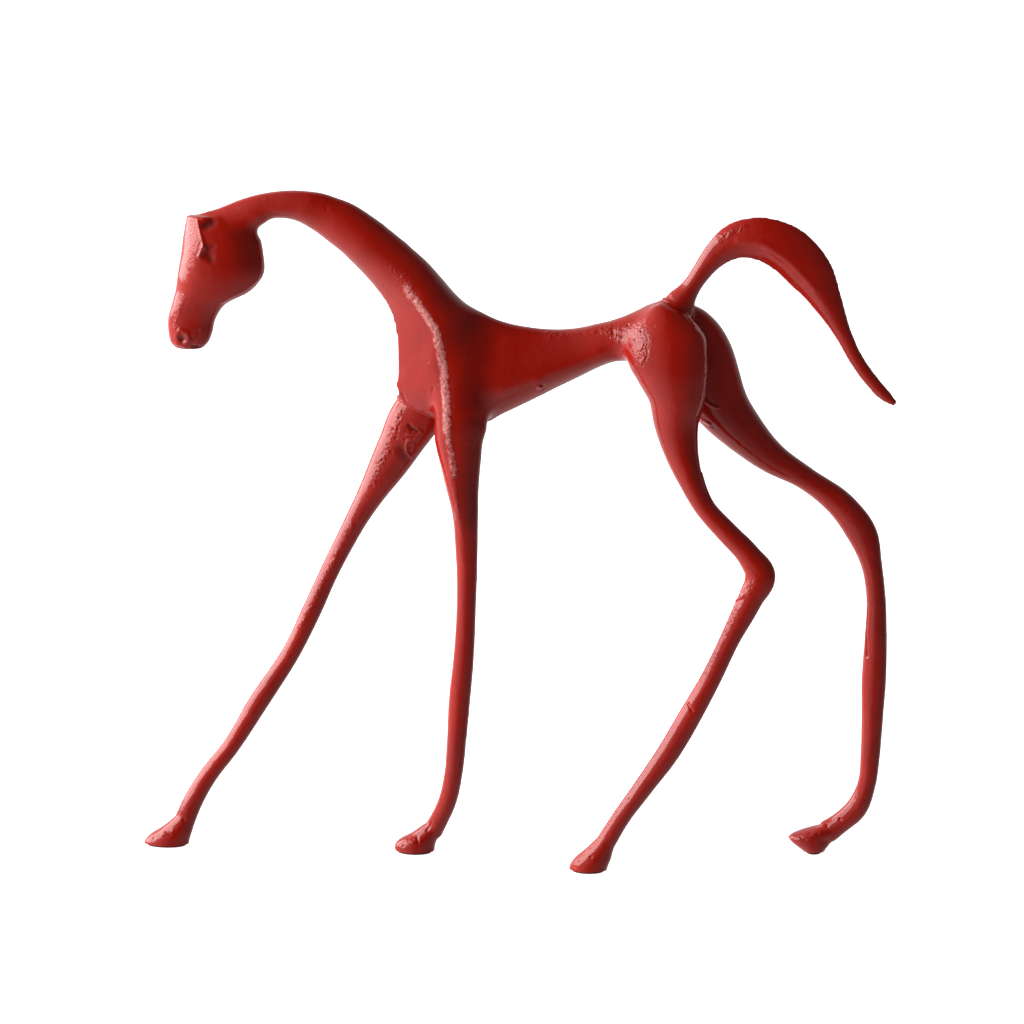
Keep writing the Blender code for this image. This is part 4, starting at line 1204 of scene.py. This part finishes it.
def weld(node, points, radius, holders, sunk=0.0, closed=True):
    """A bead along points, sunk so far towards their middle into the castings that it holds."""
    count = len(points)
    middle = sum(points, Vector()) / count
    points = [point + (middle - point).normalized() * sunk for point in points]
    mesh = bpy.data.meshes.new(node)
    edges = [(k, (k + 1) % count) for k in range(count if closed else count - 1)]
    mesh.from_pydata([point * MM for point in points], edges, [])
    bead = add_object(node + "_bead", mesh)
    values = {
        "Radius": radius * MM,
        "Step": BEAD_STEP * MM,
        "Lumps": BEAD_LUMPS,
        "Ripple size": RIPPLE_SIZE * MM,
        "Round ends": 0.0 if closed else 1.0,
        "Material": lacquer,
    }
    run_tree(bead, weld_bead, values)
    for holder in holders:
        combine(holder, bead.data.copy(), "DIFFERENCE")
    place_piece(bead, node, lacquer)


weld(
    "far_foreleg_weld",
    far_foreleg_ring,
    FAR_FORELEG_BEAD_RADIUS,
    (torso, far_foreleg),
    sunk=FAR_FORELEG_BEAD_SUNK,
)
weld(
    "tail_weld",
    tail_ring,
    TAIL_BEAD_RADIUS,
    (tail, near_hind_leg, far_hind_leg),
    sunk=TAIL_BEAD_SUNK,
)
weld("crotch_weld", crotch_line, CROTCH_BEAD_RADIUS, (near_hind_leg, far_hind_leg), closed=False)

# The belly plug
# A turned steel plug, driven into the hole in the belly where the core of the mould was held, and
# dressed over with a hammer until its head was round.
PLUG_RADIUS = 1.9
PLUG_LENGTH = 5.0
PLUG_STANDS_PROUD = 0.8
PLUG_CLEARANCE = 0.2
PLUG_DOME = 0.45
PLUG_FLAT_SHARE = 0.35
PLUG_DOME_TURNS = (0.0, 0.3, 0.6, 0.9, 1.2, 1.5)
PLUG_SIDES = 32
PLUG_AT = (16.5, -7.6, 262.5)
PLUG_WAY = (0.0, -0.62, -0.78)


def turned_mesh(name, axes, outline, sides):
    """A closed solid turned about X from an outline of (x, radius), from one end to the other."""
    rings = []
    for x, radius in outline:
        turns = [2 * math.pi * k / sides for k in range(sides)]
        spots = [(x, radius * math.cos(turn), radius * math.sin(turn)) for turn in turns]
        rings.append([axes @ Vector(spot) * MM for spot in spots])
    return shells_mesh(name, [rings])


way = Vector(PLUG_WAY).normalized()
outside = Vector(PLUG_AT) + centring + way * PLUG_LENGTH * 2
plug_at = torso.ray_cast(outside * MM, -way)[1] / MM
plug_axes = Matrix.Translation(plug_at) @ way.to_track_quat("X", "Z").to_matrix().to_4x4()
hole_radius = PLUG_RADIUS + PLUG_CLEARANCE
hole = turned_mesh(
    "hole", plug_axes, [(-PLUG_LENGTH, hole_radius), (PLUG_LENGTH, hole_radius)], PLUG_SIDES
)
combine(torso, hole, "DIFFERENCE")
dome = [
    (
        PLUG_STANDS_PROUD - PLUG_DOME + PLUG_DOME * math.sin(turn),
        PLUG_RADIUS * (PLUG_FLAT_SHARE + (1 - PLUG_FLAT_SHARE) * math.cos(turn)),
    )
    for turn in PLUG_DOME_TURNS
]
plug_outline = [(PLUG_CLEARANCE - PLUG_LENGTH, PLUG_RADIUS), *dome]
plug = add_object("belly_plug_turned", turned_mesh("plug", plug_axes, plug_outline, PLUG_SIDES))
place_piece(plug, "belly_plug", lacquer)

# The dowels
# Eight ground steel pins in blind holes line the castings up. They do not show once the horse is
# together, so the solids stay, and the castings get the holes that hold them.
DOWEL_CLEARANCE = 0.25
DOWEL_END_ROOM = 0.5
DOWEL_SIDES = 32
HEAD_DOWEL = (1.75, 14.0)
NECK_DOWEL = (3.0, 22.0)
FORELEG_DOWEL = (3.0, 22.0)
LOIN_DOWEL = (2.0, 18.0)
LOIN_DOWEL_SIDE = 5.2
HAUNCH_DOWEL = (3.0, 14.0)
HAUNCH_DOWEL_AT = (89.0, 0.0, 278.0)
TAIL_DOWEL = (2.0, 14.0)
GROUND_STEEL = "#C4C3BF"
STEEL_SMOOTHEST = 0.22
STEEL_ROUGHEST = 0.38
GRINDING_PITCH = 0.12


def ground_steel():
    """Centreless-ground steel: bright, with a fine grain that runs round the pin."""
    material, _, shader, _ = grained_material(
        "ground_steel", GROUND_STEEL, GRINDING_PITCH, STEEL_SMOOTHEST, STEEL_ROUGHEST
    )
    shader.inputs["Metallic"].default_value = 1.0
    return material


lengthwise = Matrix.Rotation(math.pi / 2, 4, "Z")
loin = cut_frame(LOIN_CUT)
haunch = Matrix.Translation(Vector(HAUNCH_DOWEL_AT) + centring) @ lengthwise
steel = ground_steel()
for node, axes, (radius, length), holders in (
    ("head_dowel", cut_frame(HEAD_CUT), HEAD_DOWEL, (head, neck)),
    ("neck_dowel", cut_frame(NECK_CUT), NECK_DOWEL, (neck, torso)),
    ("near_foreleg_dowel", cut_frame(NEAR_FORELEG_CUT), FORELEG_DOWEL, (torso, near_foreleg)),
    ("far_foreleg_dowel", cut_frame(CHEST_SEAT), FORELEG_DOWEL, (torso, far_foreleg)),
    (
        "near_loin_dowel",
        loin @ Matrix.Translation((0, -LOIN_DOWEL_SIDE, 0)),
        LOIN_DOWEL,
        (torso, near_hind_leg),
    ),
    (
        "far_loin_dowel",
        loin @ Matrix.Translation((0, LOIN_DOWEL_SIDE, 0)),
        LOIN_DOWEL,
        (torso, far_hind_leg),
    ),
    ("haunch_dowel", haunch, HAUNCH_DOWEL, (near_hind_leg, far_hind_leg)),
    ("tail_dowel", cut_frame(TAIL_CUT), TAIL_DOWEL, (tail, near_hind_leg, far_hind_leg)),
):
    room = length / 2 + DOWEL_END_ROOM
    hole_radius = radius + DOWEL_CLEARANCE
    for holder in holders:
        hole = turned_mesh("hole", axes, [(-room, hole_radius), (room, hole_radius)], DOWEL_SIDES)
        combine(holder, hole, "DIFFERENCE")
    for material_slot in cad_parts[node].material_slots:
        material_slot.material = steel

for casting, node in (
    (head, "head"),
    (neck, "neck"),
    (tail, "tail"),
    (near_foreleg, "near_foreleg"),
    (near_hind_leg, "near_hind_leg"),
    (far_hind_leg, "far_hind_leg"),
    (torso, "torso"),
    (far_foreleg, "far_foreleg"),
):
    place_piece(casting, node, lacquer)

# The pads
# Black rubber sheet, punched to the shape of each sole and stuck under it to save the shelf. The
# punch leaves the upper edge sharp and rolls the lower one over a little.
PAD_ROLL = 0.25
PAD_SIDES = 48
RUBBER_BLACK = "#1E1B1C"
RUBBER_SMOOTHEST = 0.7
RUBBER_ROUGHEST = 0.9
RUBBER_GRAIN = 0.5
RUBBER_GRAIN_HEIGHT = 0.04


def pad_rubber():
    """Black rubber sheet, with the dull fine grain of the cloth that it was cured on."""
    material, tree, shader, grain = grained_material(
        "black_rubber_sheet", RUBBER_BLACK, RUBBER_GRAIN, RUBBER_SMOOTHEST, RUBBER_ROUGHEST
    )
    bumps = add_node(
        tree, "ShaderNodeBump", {"Distance": RUBBER_GRAIN_HEIGHT * MM, "Height": grain}
    )
    tree.links.new(bumps.outputs[0], shader.inputs["Normal"])
    return material


rubber = pad_rubber()
for node in ("near_fore_pad", "far_fore_pad", "near_hind_pad", "far_hind_pad"):
    low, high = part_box(node)
    middle, half = (low + high) / 2, (high - low) / 2
    rings = []
    for z, inset in ((low.z, PAD_ROLL), (low.z + PAD_ROLL * MM, 0.0), (high.z, 0.0)):
        deep, wide = half.x - inset * MM, half.y - inset * MM
        turns = [2 * math.pi * k / PAD_SIDES for k in range(PAD_SIDES)]
        rings.append(
            [(middle.x + deep * math.cos(a), middle.y + wide * math.sin(a), z) for a in turns]
        )
    sheet = add_object(node + "_sheet", shells_mesh(node, [rings]))
    place_piece(sheet, node, rubber)

# The floor and the lights
# A white table that fills the picture, in a dark studio with one wide softbox at the horse's head
# end. The table and the walls send a little of its light back.
FLOOR_REACH = 14.0
FLOOR_WHITE = "#F4F4F4"
FLOOR_ROUGHNESS = 0.6
FLOOR_GLOW = 1.0
SOFTBOX_TURN = math.radians(-83)
SOFTBOX_RISE = math.radians(21)
SOFTBOX_DISTANCE = 2.5
SOFTBOX_WIDTH = 3.6
SOFTBOX_HEIGHT = 1.75
SOFTBOX_GLOW = 5.5
TABLE_BOUNCE = 0.5
WALL_BOUNCE = 0.1
LAMP_WALL_GLOW = 1.1
BACKDROP_GLOW = 0.6
STUDIO_GLOOM = 0.03
# How each side of the room glows: the axis, from where to where along it, and the glow at both
ROOM = (
    ("Z", -0.9, -0.1, TABLE_BOUNCE, STUDIO_GLOOM),
    ("X", -1.0, 0.0, LAMP_WALL_GLOW, 0.0),
    ("X", 0.0, 1.0, 0.0, WALL_BOUNCE),
    ("Y", 0.2, 1.0, 0.0, BACKDROP_GLOW),
)

form = bmesh.new()
bmesh.ops.create_circle(form, cap_ends=True, segments=64, radius=FLOOR_REACH)
floor = add_object("floor", bpy.data.meshes.new("floor"))
form.to_mesh(floor.data)
form.free()
acrylic = bpy.data.materials.new("white_acrylic_table")
acrylic.use_nodes = True
glow = acrylic.node_tree.nodes["Principled BSDF"]
glow.inputs["Base Color"].default_value = linear(FLOOR_WHITE)
glow.inputs["Roughness"].default_value = FLOOR_ROUGHNESS
glow.inputs["Emission Color"].default_value = (1, 1, 1, 1)
glow.inputs["Emission Strength"].default_value = FLOOR_GLOW
floor.data.materials.append(acrylic)
floor.visible_diffuse = floor.visible_glossy = floor.visible_shadow = False

lamp = bpy.data.lights.new("wide_softbox", "AREA")
lamp.shape = "RECTANGLE"
lamp.size = SOFTBOX_WIDTH
lamp.size_y = SOFTBOX_HEIGHT
lamp.energy = SOFTBOX_GLOW * math.pi * SOFTBOX_WIDTH * SOFTBOX_HEIGHT
way = way_to(SOFTBOX_TURN, SOFTBOX_RISE)
stand = add_object("wide_softbox", lamp)
stand.location = LOOK_AT * MM + way * SOFTBOX_DISTANCE
stand.rotation_euler = (-way).to_track_quat("-Z", "Y").to_euler()

world = bpy.data.worlds.new("dark_studio")
world.use_nodes = True
bpy.context.scene.world = world
sky = world.node_tree
background = sky.nodes["Background"]
background.inputs["Color"].default_value = (1, 1, 1, 1)
direction = add_node(sky, "ShaderNodeTexCoord").outputs["Generated"]
toward = add_node(sky, "ShaderNodeSeparateXYZ", {"Vector": direction}).outputs
room = 0.0
for axis, *run in ROOM:
    room = add_math(sky, "ADD", room, add_range(sky, toward[axis], *run))
# Past the table's edge the backdrop is as white as the table
seen = add_node(sky, "ShaderNodeLightPath").outputs["Is Camera Ray"]
shown = add_math(sky, "MAXIMUM", room, seen)
sky.links.new(shown.outputs[0], background.inputs["Strength"])

bpy.context.scene.view_settings.view_transform = "Standard"
